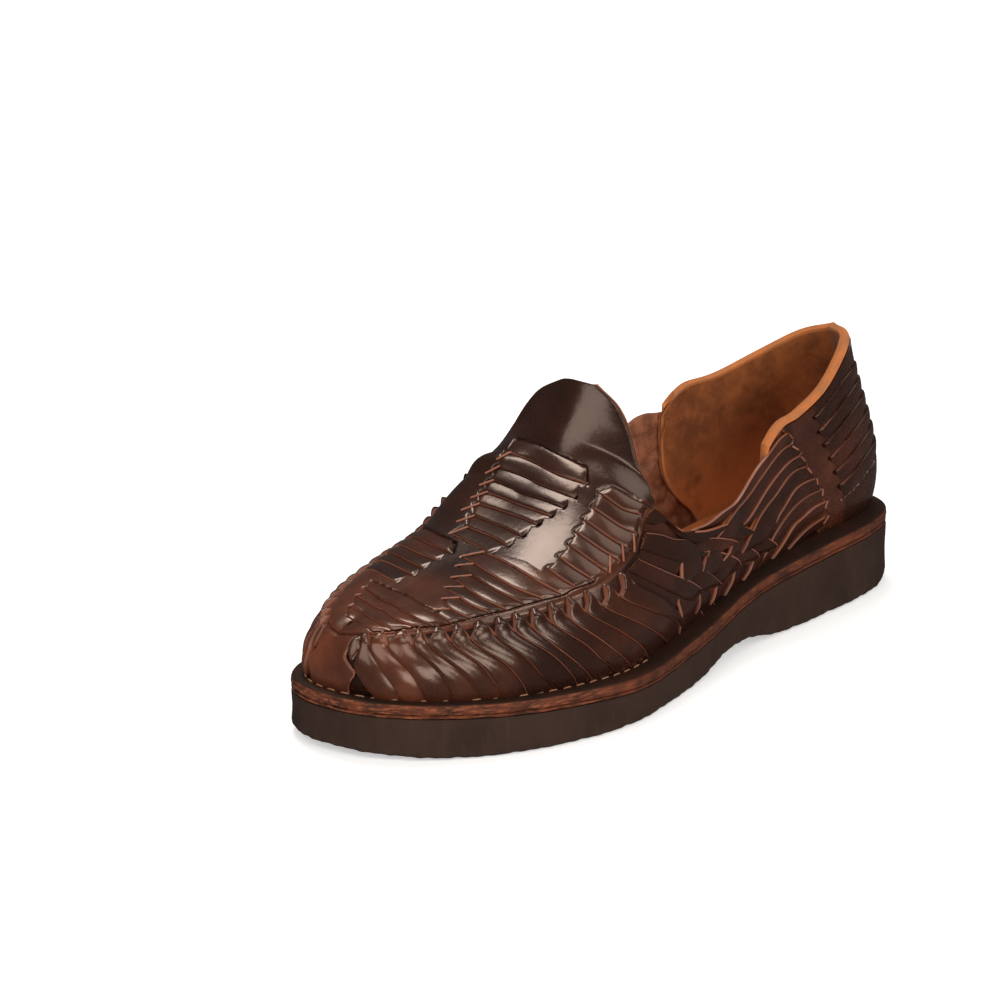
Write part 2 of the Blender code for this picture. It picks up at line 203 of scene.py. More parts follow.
def curve_through(place, rows):
    """Cubic through the table's rows, each slope taken from its two neighbours."""
    table = np.array(rows, float)
    knots, values = table[:, 0], table[:, 1:]
    slopes = np.gradient(values, knots, axis=0)
    place = np.asarray(place, float)
    cell = np.clip(np.searchsorted(knots, place, side="right") - 1, 0, len(knots) - 2)
    width = (knots[cell + 1] - knots[cell])[..., None]
    part = np.clip((place - knots[cell])[..., None] / width, 0.0, 1.0)
    return hermite(values[cell], slopes[cell] * width, values[cell + 1], slopes[cell + 1] * width, part)


def hermite(start, leave, end, arrive, part):
    """Cubic from start to end that leaves and arrives along the two given vectors."""
    square, cube = part * part, part * part * part
    return ((2 * cube - 3 * square + 1) * start + (cube - 2 * square + part) * leave
            + (3 * square - 2 * cube) * end + (cube - square) * arrive)


def around(rows, turn):
    """Reads a table of turn, outer side and inner side as one closed curve."""
    table = np.array(rows, float)
    outer = table[:, [0, 1]]
    inner = np.column_stack([-table[:, 0], table[:, 2]])
    before = np.column_stack([outer[-3:-1, 0] - 2.0, outer[-3:-1, 1]])
    after = np.column_stack([inner[-2:-4:-1, 0] + 2.0, inner[-2:-4:-1, 1]])
    closed = np.concatenate([before, inner[:0:-1], outer, after])
    return curve_through(turn, closed)[..., 0]


def ring_turns():
    """Even turns round the sole, the same on both sides so that strips run straight across."""
    half = np.linspace(0.0, 1.0, RING_POINTS // 2 + 1)
    return np.concatenate([half, -half[-2:0:-1]])


def unit(vectors):
    """Vectors brought to length one."""
    return vectors / np.linalg.norm(vectors, axis=-1, keepdims=True)


def ease(share):
    """Smooth step from 0 to 1."""
    share = np.clip(share, 0.0, 1.0)
    return share * share * (3.0 - 2.0 * share)


def bell(value, middle, width):
    """Smooth hump, 1 at its middle."""
    return np.exp(-((value - middle) / width) ** 2)


def crossed(first, second):
    """Grids of two rows of places, a row for each of the first."""
    return np.meshgrid(first, second, indexing="ij")


def at_height(plan, height):
    """Plan points brought to their heights."""
    return np.concatenate([plan, height[..., None]], -1)


def travel_of(points):
    """Distance run along a line of points."""
    steps = np.linalg.norm(np.diff(points, axis=0), axis=1)
    return np.concatenate([[0.0], np.cumsum(steps)])


def outline_middle():
    """Middle of the outline across, as a share of BALL_WIDTH: the frame's X starts there."""
    across = around(OUTLINE, ring_turns())
    return 0.5 * (across.max() + across.min())


MIDDLE = outline_middle()


def sole_edge(turn):
    """Plan outline of the sole: y is a cosine of the turn, x comes from the table."""
    turn = np.asarray(turn, float)
    x = (around(OUTLINE, turn) - MIDDLE) * BALL_WIDTH
    return np.stack([x, -0.5 * LENGTH * np.cos(math.pi * turn)], -1)


def sole_inset(turn, inset):
    """Outline moved inwards along its own normal."""
    turn = np.asarray(turn, float)
    step = 0.001
    along = unit(sole_edge(turn + step) - sole_edge(turn - step))
    away = np.stack([along[..., 1], -along[..., 0]], -1)
    return sole_edge(turn) - away * np.asarray(inset)[..., None]


def length_share(y):
    """Share of the length from the toe."""
    return np.clip(np.asarray(y, float) / LENGTH + 0.5, 0.0, 1.0)


def rubber_top(y):
    """Height of the top of the rubber."""
    share = curve_through(length_share(y), SOLE_TOP)[..., 0]
    return FOREFOOT_SOLE + (HEEL_SOLE - FOREFOOT_SOLE) * share


def ground_face(y):
    """Underside of the rubber: flat at ball and heel, lifted at the waist and the toe."""
    share = length_share(y)
    toe = np.clip(1.0 - share / TOE_END, 0.0, 1.0) ** 2
    hollow = np.clip(1.0 - ((share - WAIST) / WAIST_HALF) ** 2, 0.0, 1.0) ** 2
    return TOE_SPRING * toe + ARCH_RISE * hollow


def midsole_top(y):
    """Face on which the upper and the insole stand."""
    return rubber_top(y) + MIDSOLE_THICK


def feather(turn):
    """Line where the upper meets the midsole."""
    plan = sole_inset(turn, around(MARGIN, turn) * WELT)
    return at_height(plan, midsole_top(plan[..., 1]) + GAP)


def rail(rows, turn, height):
    """Rail from its table, set on the midsole."""
    share = curve_through(np.abs(turn), rows)
    x, y = (share[..., 0] - MIDDLE) * BALL_WIDTH, share[..., 1] * LENGTH
    base = midsole_top(y)
    return np.stack([x, y, base + share[..., 2] * height], -1)


def side_rail(outer_rows, inner_rows, turn, height):
    """Rail that differs between the outer and the inner side."""
    turn = np.asarray(turn, float)
    outer = rail(outer_rows, turn, height)
    inner = rail(inner_rows, turn, height)
    return np.where(turn[..., None] >= 0, outer, inner)


def belt(turn):
    """Belt of the vamp, and the topline behind the throat."""
    return side_rail(BELT_OUTER, BELT_INNER, turn, COLLAR)


def ridge(turn):
    """Crest of the instep and the tongue."""
    return rail(RIDGE, np.minimum(np.abs(turn), TONGUE_TIP), INSTEP)


def tongue_edge(turn):
    """Free edge of the tongue."""
    return side_rail(TONGUE_OUTER, TONGUE_INNER, turn, INSTEP)


def belt_direction(turn):
    """Direction in which the wall passes the belt: over the instep in front, upright behind."""
    low, high = feather(turn), belt(turn)
    across = unit(unit(high - low) + unit(ridge(turn) - high))
    upright = unit(unit(high - low) + STAND_UP * UP)
    blend = ease((np.abs(turn) - THROAT + 0.02) / 0.06)[..., None]
    return unit(across * (1 - blend) + upright * blend)


def skirt(turn, rise):
    """Wall from the feather line (rise 0) to the belt (rise 1)."""
    low, high = feather(turn), belt(turn)
    size = np.linalg.norm(high - low, axis=-1, keepdims=True)
    plan = unit(sole_edge(turn) - sole_inset(turn, WELT))
    away = at_height(plan, 0.0 * plan[..., 0])
    leave = unit(UP + LEAN_OUT * away) * size
    arrive = belt_direction(turn) * size
    return hermite(low, leave, high, arrive, np.asarray(rise)[..., None])


def panel(turn, rise):
    """Front panel and tongue from the belt or the tongue's edge (rise 0) to the ridge (rise 1)."""
    turn = np.asarray(turn, float)
    behind = (np.abs(turn) > THROAT)[..., None]
    start = np.where(behind, tongue_edge(turn), belt(turn))
    crest = ridge(turn)
    size = np.linalg.norm(crest - start, axis=-1, keepdims=True)
    blend = np.clip((np.abs(turn) - THROAT) / 0.05, 0.0, 1.0)[..., None]
    front = belt_direction(np.clip(turn, -THROAT, THROAT))
    leave = unit(front * (1 - blend) + unit(crest - start) * blend) * size
    inward = np.stack([-np.sign(turn), 0 * turn, 0 * turn], -1)
    return hermite(start, leave, crest, inward * size, np.asarray(rise)[..., None])


def over(turn, cross):
    """Front panel across the ridge, from the outer belt (-1) to the inner belt (1)."""
    turn, cross = np.broadcast_arrays(np.asarray(turn, float), np.asarray(cross, float))
    side = np.where(cross <= 0, 1.0, -1.0)
    return panel(side * np.maximum(turn, 1e-6), 1.0 - np.abs(cross))


def inner_skirt(turn, rise):
    """Inner side of the skirt, read with a positive turn."""
    return skirt(-np.asarray(turn, float), rise)


def heel(turn, rise):
    """Skirt carried round the heel: turns past 1 come forward along the inner side."""
    turn = np.asarray(turn, float)
    return skirt(np.where(turn > 1.0, turn - 2.0, turn), rise)


def outward(chart, first, second, step=0.006):
    """Unit normals of a chart, from points a small step apart both ways."""
    along = chart(first + step, second) - chart(first - step, second)
    across = chart(first, second + step) - chart(first, second - step)
    normal = unit(np.cross(along, across))
    return -normal if chart is inner_skirt else normal


def lifted(chart, first, second, height):
    """Chart points moved outwards by a height."""
    first, second = np.broadcast_arrays(np.asarray(first, float), np.asarray(second, float))
    return chart(first, second) + outward(chart, first, second) * np.asarray(height)[..., None]


def along_line(places, count):
    """Smooth curve of count points through a few chart places, evenly spread over their knots."""
    places = np.array(places, float)
    knots = np.linspace(0.0, 1.0, len(places))
    return curve_through(np.linspace(0.0, 1.0, count), np.column_stack([knots, places]))


SHARP_DEGREES = 50      # corners sharper than this aren't smoothed


class Pile:
    """Grids gathered into one mesh, with the values that its finish reads at every point."""

    def __init__(self):
        self.points, self.faces, self.values, self.count = [], [], {}, 0

    def grid(self, points, closed=False, flip=False, **values):
        """Adds a rows x columns grid of points; closed joins its last column to its first."""
        rows, columns = points.shape[:2]
        ids = np.arange(rows * columns).reshape(rows, columns) + self.count
        if closed:
            ids = np.column_stack([ids, ids[:, :1]])
        quads = np.stack([ids[:-1, :-1], ids[1:, :-1], ids[1:, 1:], ids[:-1, 1:]], -1).reshape(-1, 4)
        self.points.append(points.reshape(-1, 3))
        self.faces.append(quads[:, ::-1] if flip else quads)
        for name, value in values.items():
            self.values.setdefault(name, []).append(np.broadcast_to(value, (rows, columns)).ravel())
        self.count += rows * columns

    def mesh(self, name, finish):
        """Makes the piece, its object at the origin, riding on the shoe's one body."""
        points = np.concatenate(self.points)
        faces = np.concatenate(self.faces)
        mesh = bpy.data.meshes.new(name)
        mesh.from_pydata(points.tolist(), [], faces.tolist())
        for key, parts in self.values.items():
            layer = mesh.attributes.new(key, "FLOAT", "POINT")
            layer.data.foreach_set("value", np.concatenate(parts).astype(np.float32))
        mesh.materials.append(finish)
        mesh.shade_smooth()
        mesh.set_sharp_from_angle(angle=math.radians(SHARP_DEGREES))
        piece = bpy.data.objects.new(name, mesh)
        bpy.context.scene.collection.objects.link(piece)
        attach(piece, "root")
        return piece


class Value:
    """A varying value in a finish; sums and products of it add Math nodes."""

    def __init__(self, finish, socket):
        self.finish, self.socket = finish, socket

    def apply(self, operation, *others):
        """Math node on this value and others, in order."""
        return self.finish.add("ShaderNodeMath", list(enumerate((self, *others))), operation=operation)

    def __add__(self, other):
        return self.apply("ADD", other)

    def __mul__(self, other):
        return self.apply("MULTIPLY", other)

    def __rsub__(self, other):
        return (self * -1.0) + other

    __radd__, __rmul__ = __add__, __mul__

    def spread(self, low, high):
        """Smooth ramp, 0 below low and 1 above high."""
        sockets = [("Value", self), ("From Min", low), ("From Max", high)]
        return self.finish.add("ShaderNodeMapRange", sockets, interpolation_type="SMOOTHSTEP")


class Finish:
    """A material made of nodes: one method adds any node, the rest name the usual ones."""

    def __init__(self, name):
        self.material = bpy.data.materials.new(name)
        self.material.use_nodes = True
        self.tree = self.material.node_tree
        self.shader = self.tree.nodes["Principled BSDF"]
        self.place = self.add("ShaderNodeTexCoord", [], out="Object")

    def add(self, kind, sockets, out=0, **settings):
        """Adds a node: its settings first, then values or links for its sockets."""
        node = self.tree.nodes.new(kind)
        for key, setting in settings.items():
            setattr(node, key, setting)
        for key, value in sockets:
            self.feed(node.inputs[key], value)
        return Value(self, node.outputs[out])

    def feed(self, socket, value):
        """Links a value to a socket, or sets the socket to a number or colour."""
        if isinstance(value, Value):
            self.tree.links.new(value.socket, socket)
        elif isinstance(value, tuple) and len(value) == 3 and socket.type == "RGBA":
            socket.default_value = (*value, 1.0)
        else:
            socket.default_value = value

    def noise(self, scale, detail, rough, place=None, distortion=0.0):
        """Cloudy noise from 0 to 1, scale in cells to a metre."""
        sockets = [("Vector", place or self.place), ("Scale", scale), ("Detail", detail),
                   ("Roughness", rough), ("Distortion", distortion)]
        return self.add("ShaderNodeTexNoise", sockets, out="Fac")

    def cells(self, scale):
        """Distance inside rounded cells, as on leather grain."""
        sockets = [("Vector", self.place), ("Scale", scale)]
        return self.add("ShaderNodeTexVoronoi", sockets, out="Distance")

    def stretched(self, across, along, up):
        """Object place scaled by three shares, for streaks."""
        sockets = [("Vector", self.place), ("Scale", (across, along, up))]
        return self.add("ShaderNodeMapping", sockets)

    def attribute(self, name):
        """Value stored at the mesh's points."""
        return self.add("ShaderNodeAttribute", [], out="Fac", attribute_name=name)

    def blend(self, share, first, second):
        """Colour between two colours."""
        node = self.tree.nodes.new("ShaderNodeMix")
        node.data_type = "RGBA"
        self.feed(node.inputs[0], share)
        self.feed(node.inputs[6], first)
        self.feed(node.inputs[7], second)
        return Value(self, node.outputs[2])

    def relief(self, height, distance, strength):
        """Bump of a height on the shader's normal."""
        sockets = [("Height", height), ("Distance", distance), ("Strength", strength)]
        bump = self.add("ShaderNodeBump", sockets)
        self.feed(self.shader.inputs["Normal"], bump)

    def set(self, **values):
        """Feeds the shader's sockets; a name's underscores stand for spaces."""
        for key, value in values.items():
            self.feed(self.shader.inputs[key.replace("_", " ")], value)
        return self.material


# colours, linear
DARK_BROWN = (0.019, 0.0060, 0.0036)
MID_BROWN = (0.060, 0.0165, 0.0086)
RED_BROWN = (0.205, 0.056, 0.0250)
RAW_EDGE = (0.34, 0.135, 0.098)
EDGE_ORANGE = (0.32, 0.095, 0.040)
FLESH = (0.34, 0.115, 0.055)
SUEDE = (0.56, 0.175, 0.048)
SUEDE_DARK = (0.150, 0.046, 0.015)
# painted shade of creases and bulges in the suede
SUEDE_CREASE_SHADE = (0.070, 0.024, 0.010)
RIM_TAN = (0.40, 0.150, 0.055)
RUBBER = (0.031, 0.0150, 0.0096)
RUBBER_WORN = (0.056, 0.030, 0.0195)
WELT_TOP = (0.022, 0.0105, 0.0062)
WELT_EDGE = (0.140, 0.035, 0.0135)
WELT_EDGE_DARK = (0.048, 0.0160, 0.0085)
THREAD = (0.34, 0.26, 0.18)
SHEEN = (1.0, 0.76, 0.63)
FLOOR = (0.93, 0.93, 0.93)
FLOOR_PALE = (0.95, 0.95, 0.95)
SKY = (1.0, 1.0, 1.0, 1.0)
LAMP_LIGHT = (1.0, 0.96, 0.91)


def polished_leather():
    """Glossy dark leather: fine cells and creases, redder where worn, pale raw cut edges; the ribs
    darken towards the heel as painted shade.

    The points' values are edge (1 on a cut edge), red (1 on the redder smooth parts) and
    flesh (1 on the rough back).
    """
    finish = Finish("polished leather")
    edge, red, flesh = finish.attribute("edge"), finish.attribute("red"), finish.attribute("flesh")
    cloud = finish.noise(38.0, 5.0, 0.6)
    mottle = finish.noise(210.0, 4.0, 0.6)
    grain = finish.cells(1250.0)
    crease = finish.noise(420.0, 1.5, 0.5, distortion=0.6)
    dark = finish.blend(cloud.spread(0.42, 0.95), DARK_BROWN, MID_BROWN)
    worn = finish.blend(cloud.spread(0.25, 0.8), MID_BROWN, RED_BROWN)
    hide = finish.blend(red * (mottle * 0.4 + 0.75), dark, worn)
    cut = finish.blend(mottle.spread(0.35, 0.65), RAW_EDGE, EDGE_ORANGE)
    hide = finish.blend(edge.spread(0.25, 0.75) * (mottle * 0.5 + 0.65), hide, cut)
    rough_back = finish.blend(mottle.spread(0.3, 0.7), SUEDE_DARK, FLESH)
    colour = finish.blend(flesh.spread(0.3, 0.7), hide, rough_back)
    dull = edge.spread(0.2, 0.7) * 0.35 + flesh.spread(0.3, 0.7) * 0.5
    finish.relief(grain * 0.04 + crease * 0.30 + flesh * mottle * 1.5, 0.0004, 0.50)
    shine = flesh.spread(0.3, 0.7) * -0.08 + edge.spread(0.2, 0.7) * -0.05 + 0.10
    return finish.set(Base_Color=colour, Roughness=dull + mottle * 0.10 + 0.19,
                      Coat_Weight=shine, Coat_Roughness=0.12, Specular_IOR_Level=0.85,
                      Specular_Tint=SHEEN)


def suede():
    """Tan suede: soft clouds of nap, darker towards the top, blotches of painted shade for creases and
    bulges, pale on the rolled rim.
    """
    finish = Finish("tan suede")
    rim, low = finish.attribute("rim"), finish.attribute("low")
    cloud = finish.noise(26.0, 4.0, 0.6)
    crease_shade = finish.noise(48.0, 4.0, 0.6, distortion=0.4)
    nap = finish.noise(900.0, 5.0, 0.7)
    streak = finish.noise(160.0, 5.0, 0.65)
    base = finish.blend(cloud.spread(0.32, 0.72) * 0.4 + low * 0.8, SUEDE_DARK, SUEDE)
    base = finish.blend(streak.spread(0.35, 0.75) * 0.4, base, SUEDE)
    # dark blotches: painted shade of creases and bulges
    base = finish.blend(crease_shade.spread(0.52, 0.76) * 0.65, base, SUEDE_CREASE_SHADE)
    pale = finish.blend(streak.spread(0.3, 0.7), RIM_TAN, SUEDE)
    finish.relief(nap + streak * 0.8, 0.0005, 0.5)
    colour = finish.blend(rim.spread(0.3, 0.7), base, pale)
    return finish.set(Base_Color=colour, Roughness=nap * 0.1 + 0.86, Specular_IOR_Level=0.15,
                      Sheen_Weight=0.08, Sheen_Roughness=0.5)


def moulded_rubber():
    """Matte dark rubber: fine stipple, rubbed lighter at the lower edge, faint upright scuffs."""
    finish = Finish("dark brown rubber")
    worn = finish.attribute("worn")
    stipple = finish.noise(1500.0, 4.0, 0.65)
    cloud = finish.noise(30.0, 5.0, 0.6)
    scuff = finish.noise(240.0, 5.0, 0.6, place=finish.stretched(1.0, 1.0, 0.22))
    rubbed = cloud.spread(0.3, 0.75) * 0.45 + scuff.spread(0.5, 0.75) * 0.35
    colour = finish.blend(rubbed, RUBBER, RUBBER_WORN)
    colour = finish.blend(worn * scuff.spread(0.3, 0.6) * 0.6, colour, RUBBER_WORN)
    finish.relief(stipple * 0.6 + scuff * 0.8 + cloud, 0.0006, 0.5)
    return finish.set(Base_Color=colour, Roughness=stipple * 0.2 + 0.6, Specular_IOR_Level=0.18)


def stained_midsole():
    """Leather midsole: stained red-brown edge with fibre streaks, oiled dark top (value top)."""
    finish = Finish("stained midsole leather")
    top, orange = finish.attribute("top"), finish.attribute("orange")
    fibre = finish.noise(300.0, 6.0, 0.65, place=finish.stretched(1.0, 0.5, 4.0))
    blotch = finish.noise(95.0, 5.0, 0.6)
    grain = finish.noise(700.0, 5.0, 0.65)
    edge = finish.blend(blotch.spread(0.35, 0.68), WELT_EDGE_DARK, WELT_EDGE)
    edge = finish.blend(fibre.spread(0.45, 0.72) * (orange * 0.8 + 0.12), edge, EDGE_ORANGE)
    oiled = finish.blend(blotch.spread(0.3, 0.8) * 0.6, WELT_TOP, MID_BROWN)
    colour = finish.blend(top.spread(0.35, 0.65), edge, oiled)
    finish.relief(grain * 0.7 + fibre * (1.0 - top) * 1.1 + blotch * 0.5, 0.0006, 0.6)
    return finish.set(Base_Color=colour, Roughness=grain * 0.2 + 0.5, Specular_IOR_Level=0.18)


def waxed_thread():
    """Pale waxed thread with a fine twist."""
    finish = Finish("waxed thread")
    fibre = finish.noise(1800.0, 4.0, 0.6)
    finish.relief(fibre, 0.0003, 0.5)
    colour = finish.blend(fibre.spread(0.3, 0.7), THREAD, SUEDE)
    return finish.set(Base_Color=colour, Roughness=fibre * 0.2 + 0.6)


def studio_floor():
    """Pale even floor."""
    finish = Finish("studio floor")
    cloud = finish.noise(3.0, 2.0, 0.5)
    colour = finish.blend(cloud, FLOOR, FLOOR_PALE)
    return finish.set(Base_Color=colour, Roughness=0.75, Emission_Color=FLOOR, Emission_Strength=0.50)


# seams of the front panel, each a list of (turn, cross) from its outer to its inner end
CAP_SEAM = [
    (0.099, -0.90), (0.068, -0.66), (0.045, -0.47), (0.012, -0.20), (0.006, 0.0), (0.012, 0.20),
    (0.055, 0.45),
]
LONG_SEAMS = [
    [(0.144, -0.91), (0.118, -0.75), (0.103, -0.60), (0.088, -0.40), (0.079, -0.15), (0.080, 0.05),
     (0.108, 0.47)],
    [(0.186, -0.90), (0.165, -0.80), (0.150, -0.68), (0.137, -0.48), (0.127, -0.22), (0.127, 0.05),
     (0.150, 0.50)],
    [(0.215, -0.93), (0.195, -0.80), (0.180, -0.65), (0.166, -0.48), (0.158, -0.22), (0.158, 0.05),
     (0.181, 0.52)],
    [(0.243, -0.92), (0.228, -0.75), (0.217, -0.62), (0.206, -0.45), (0.200, -0.22), (0.198, 0.05),
     (0.207, 0.50)],
]
OUTER_SEAMS = [
    [(0.243, -0.92), (0.236, -0.84), (0.229, -0.76)],
    [(0.270, -0.90), (0.255, -0.76), (0.249, -0.62)],
    [(0.300, -0.89), (0.283, -0.74), (0.272, -0.55), (0.267, -0.42)],
    [(0.322, -0.90), (0.303, -0.70), (0.294, -0.50), (0.290, -0.32)],
    [(0.347, -0.89), (0.327, -0.65), (0.317, -0.40), (0.314, -0.18)],
    [(0.372, -0.90), (0.351, -0.70), (0.338, -0.42), (0.335, -0.10)],
    [(0.395, -0.92), (0.382, -0.72), (0.370, -0.45), (0.362, -0.20)],
    [(0.415, -0.91), (0.409, -0.80), (0.405, -0.66)],
    [(0.438, -0.93), (0.430, -0.76), (0.427, -0.62)],
    [(0.458, -0.95), (0.452, -0.76), (0.449, -0.58)],
    [(0.478, -0.95), (0.471, -0.76), (0.468, -0.55)],
    [(0.495, -0.95), (0.489, -0.76), (0.487, -0.54)],
    [(0.514, -0.96), (0.508, -0.78), (0.507, -0.54)],
    [(0.531, -0.97), (0.524, -0.78), (0.527, -0.57)],
    [(0.546, -0.98), (0.540, -0.82), (0.541, -0.66)],
]
CROSS_SEAMS = [
    [(0.364, -0.24), (0.368, 0.0), (0.372, 0.31)],
    [(0.392, -0.28), (0.394, 0.0), (0.396, 0.28)],
    [(0.418, -0.28), (0.418, 0.0), (0.421, 0.35)],
    [(0.446, -0.28), (0.444, 0.0), (0.445, 0.42)],
    [(0.467, -0.32), (0.463, -0.1), (0.464, 0.1), (0.469, 0.45)],
    [(0.486, -0.36), (0.481, 0.0), (0.485, 0.2), (0.492, 0.47)],
    [(0.506, -0.39), (0.503, -0.1), (0.508, 0.1), (0.518, 0.52)],
    [(0.531, -0.45), (0.530, -0.2), (0.538, 0.1), (0.547, 0.55)],
    [(0.556, -0.36), (0.566, -0.05), (0.571, 0.2), (0.572, 0.64)],
]
INNER_SEAMS = [
    [(0.222, 0.17), (0.228, 0.42), (0.240, 0.66), (0.252, 0.90)],
    [(0.257, 0.10), (0.262, 0.40), (0.270, 0.64), (0.284, 0.90)],
    [(0.283, 0.12), (0.286, 0.40), (0.295, 0.64), (0.310, 0.90)],
    [(0.312, 0.09), (0.311, 0.40), (0.318, 0.64), (0.334, 0.90)],
    [(0.337, 0.06), (0.338, 0.40), (0.346, 0.66), (0.360, 0.90)],
    [(0.360, 0.22), (0.362, 0.45), (0.372, 0.68), (0.385, 0.90)],
]

# sunk windows of the front panel in which the straps lie, as (turn, cross) corners
LONG_WINDOW = [
    (0.099, -0.92), (0.144, -0.93), (0.186, -0.92), (0.215, -0.95), (0.243, -0.93), (0.270, -0.91),
    (0.300, -0.90), (0.322, -0.91), (0.347, -0.90), (0.372, -0.91), (0.395, -0.93), (0.415, -0.92),
    (0.437, -0.94), (0.452, -0.87), (0.458, -0.95), (0.472, -0.86), (0.478, -0.96), (0.490, -0.87),
    (0.495, -0.97), (0.509, -0.91), (0.514, -0.98), (0.527, -0.93), (0.531, -0.98), (0.546, -0.98),
    (0.541, -0.82), (0.541, -0.63), (0.533, -0.57), (0.527, -0.54), (0.522, -0.58), (0.507, -0.52),
    (0.502, -0.57), (0.487, -0.52), (0.483, -0.58), (0.468, -0.53), (0.463, -0.60), (0.449, -0.56),
    (0.443, -0.64), (0.427, -0.60), (0.422, -0.69), (0.405, -0.65), (0.400, -0.67),
    (0.385, -0.735), (0.372, -0.52), (0.362, -0.19), (0.335, -0.07), (0.334, -0.25),
    (0.314, -0.14), (0.315, -0.38), (0.289, -0.26), (0.291, -0.49), (0.266, -0.37), (0.273, -0.62),
    (0.249, -0.56), (0.250, -0.74), (0.226, -0.71), (0.215, -0.60), (0.204, -0.42), (0.199, -0.22),
    (0.197, 0.05), (0.206, 0.52), (0.185, 0.46), (0.180, 0.54), (0.155, 0.44), (0.149, 0.52),
    (0.115, 0.42), (0.108, 0.49), (0.062, 0.42), (0.055, 0.46), (0.012, 0.20), (0.006, 0.0),
    (0.012, -0.20), (0.045, -0.47), (0.068, -0.66),
]
CROSS_WINDOW = [
    (0.364, -0.27), (0.386, -0.24), (0.392, -0.30), (0.412, -0.24), (0.418, -0.30), (0.440, -0.25),
    (0.446, -0.31), (0.460, -0.27), (0.467, -0.34), (0.480, -0.31), (0.486, -0.38), (0.500, -0.33),
    (0.506, -0.41), (0.525, -0.36), (0.531, -0.47), (0.550, -0.385), (0.558, -0.37),
    (0.567, -0.05), (0.573, 0.2), (0.574, 0.64), (0.549, 0.50), (0.547, 0.57), (0.521, 0.46),
    (0.518, 0.54), (0.495, 0.42), (0.491, 0.50), (0.471, 0.41), (0.468, 0.48), (0.447, 0.36),
    (0.444, 0.44), (0.423, 0.30), (0.420, 0.38), (0.398, 0.24), (0.395, 0.30), (0.371, 0.33),
    (0.366, 0.0),
]
INNER_WINDOW = [
    (0.222, 0.15), (0.252, 0.22), (0.257, 0.08), (0.279, 0.18), (0.283, 0.10), (0.307, 0.17),
    (0.312, 0.07), (0.332, 0.15), (0.337, 0.04), (0.360, 0.16), (0.364, 0.45), (0.374, 0.68),
    (0.388, 0.92), (0.360, 0.915), (0.334, 0.91), (0.310, 0.915), (0.284, 0.91), (0.252, 0.92),
    (0.238, 0.66), (0.226, 0.42),
]

LIP = 0.0013            # smooth leather above the straps' window
LIP_WIDTH = 0.0009
LIP_CREST = 0.0001      # where the raw lip of the window is palest, inside its border
LIP_SPREAD = 0.00045
UNDER_LIP = LIP - 0.0003
BACK_STEP = 3           # lines of a sheet's front for each line of its back
EDGE_THINNING = 0.0006  # loss of thickness at a free edge
BELT_SINK = 0.0011      # sinking of the panel's border under the ribs' tips
INLAY_DEPTH = 0.0012    # depth of the weave and the quarter below the wall's face
STRAP_THICK = 0.0016
HEEL_STRAP_THICK = 0.00184
RIB_THICK = 0.0021
TUCK = 0.0018           # length over which a strap's end dives under the leather


def window_depth(chart, corners, turn, cross):
    """Distance inside a window's border, in metres, negative outside it."""
    loop = np.array(corners + corners[:1])
    parts = [np.linspace(a, b, 14, endpoint=False) for a, b in zip(loop[:-1], loop[1:])]
    border = np.concatenate(parts)
    line = chart(border[:, 0], border[:, 1])
    place = chart(turn, cross).reshape(-1, 3)
    nearest = np.full(len(place), 1.0)
    for start in range(0, len(place), 4000):
        some = place[start:start + 4000]
        gaps = np.linalg.norm(some[:, None, :] - line[None, :, :], axis=-1)
        nearest[start:start + 4000] = gaps.min(axis=1)
    inside = np.zeros(turn.shape, bool)
    for (a_turn, a_cross), (b_turn, b_cross) in zip(loop[:-1], loop[1:]):
        spans = (a_cross > cross) != (b_cross > cross)
        drop = b_cross - a_cross if b_cross != a_cross else 1.0
        inside ^= spans & (turn < a_turn + (b_turn - a_turn) * (cross - a_cross) / drop)
    return np.where(inside, 1.0, -1.0) * nearest.reshape(turn.shape)


def sunk(depth):
    """Height of leather round a sunk window, and the share of its raw lip, from the depth inside."""
    return LIP * ease(0.5 - depth / LIP_WIDTH), bell(depth, LIP_CREST, LIP_SPREAD)


def closed_sheet(pile, chart, first, second, top, bottom, **values):
    """Sheet between two heights above a chart, closed all round, with fewer lines at its back."""
    upper = lifted(chart, first, second, top)
    lower = lifted(chart, first, second, bottom)
    steps = np.arange(first.shape[1])
    kept = np.unique(np.append(steps[:-1:BACK_STEP], steps[-1]))
    ring = np.concatenate([lower[:, kept[::-1]], upper], axis=1)
    wide = {}
    for name, value in values.items():
        full = np.broadcast_to(value, first.shape)
        wide[name] = np.concatenate([full[:, kept[::-1]], full], axis=1)
    wide["flesh"] = np.concatenate([np.ones((len(first), len(kept))), np.zeros(first.shape)], axis=1)
    flip = chart is inner_skirt
    pile.grid(ring, closed=True, flip=flip, **wide)
    for row, way in ((0, 1), (-1, -1)):
        line = [np.interp(steps, kept, lower[row, kept, axis]) for axis in range(3)]
        cap = np.stack([np.stack(line, -1), upper[row]])[::way]
        pile.grid(cap, flip=flip, edge=1.0, red=0.0, flesh=0.0)


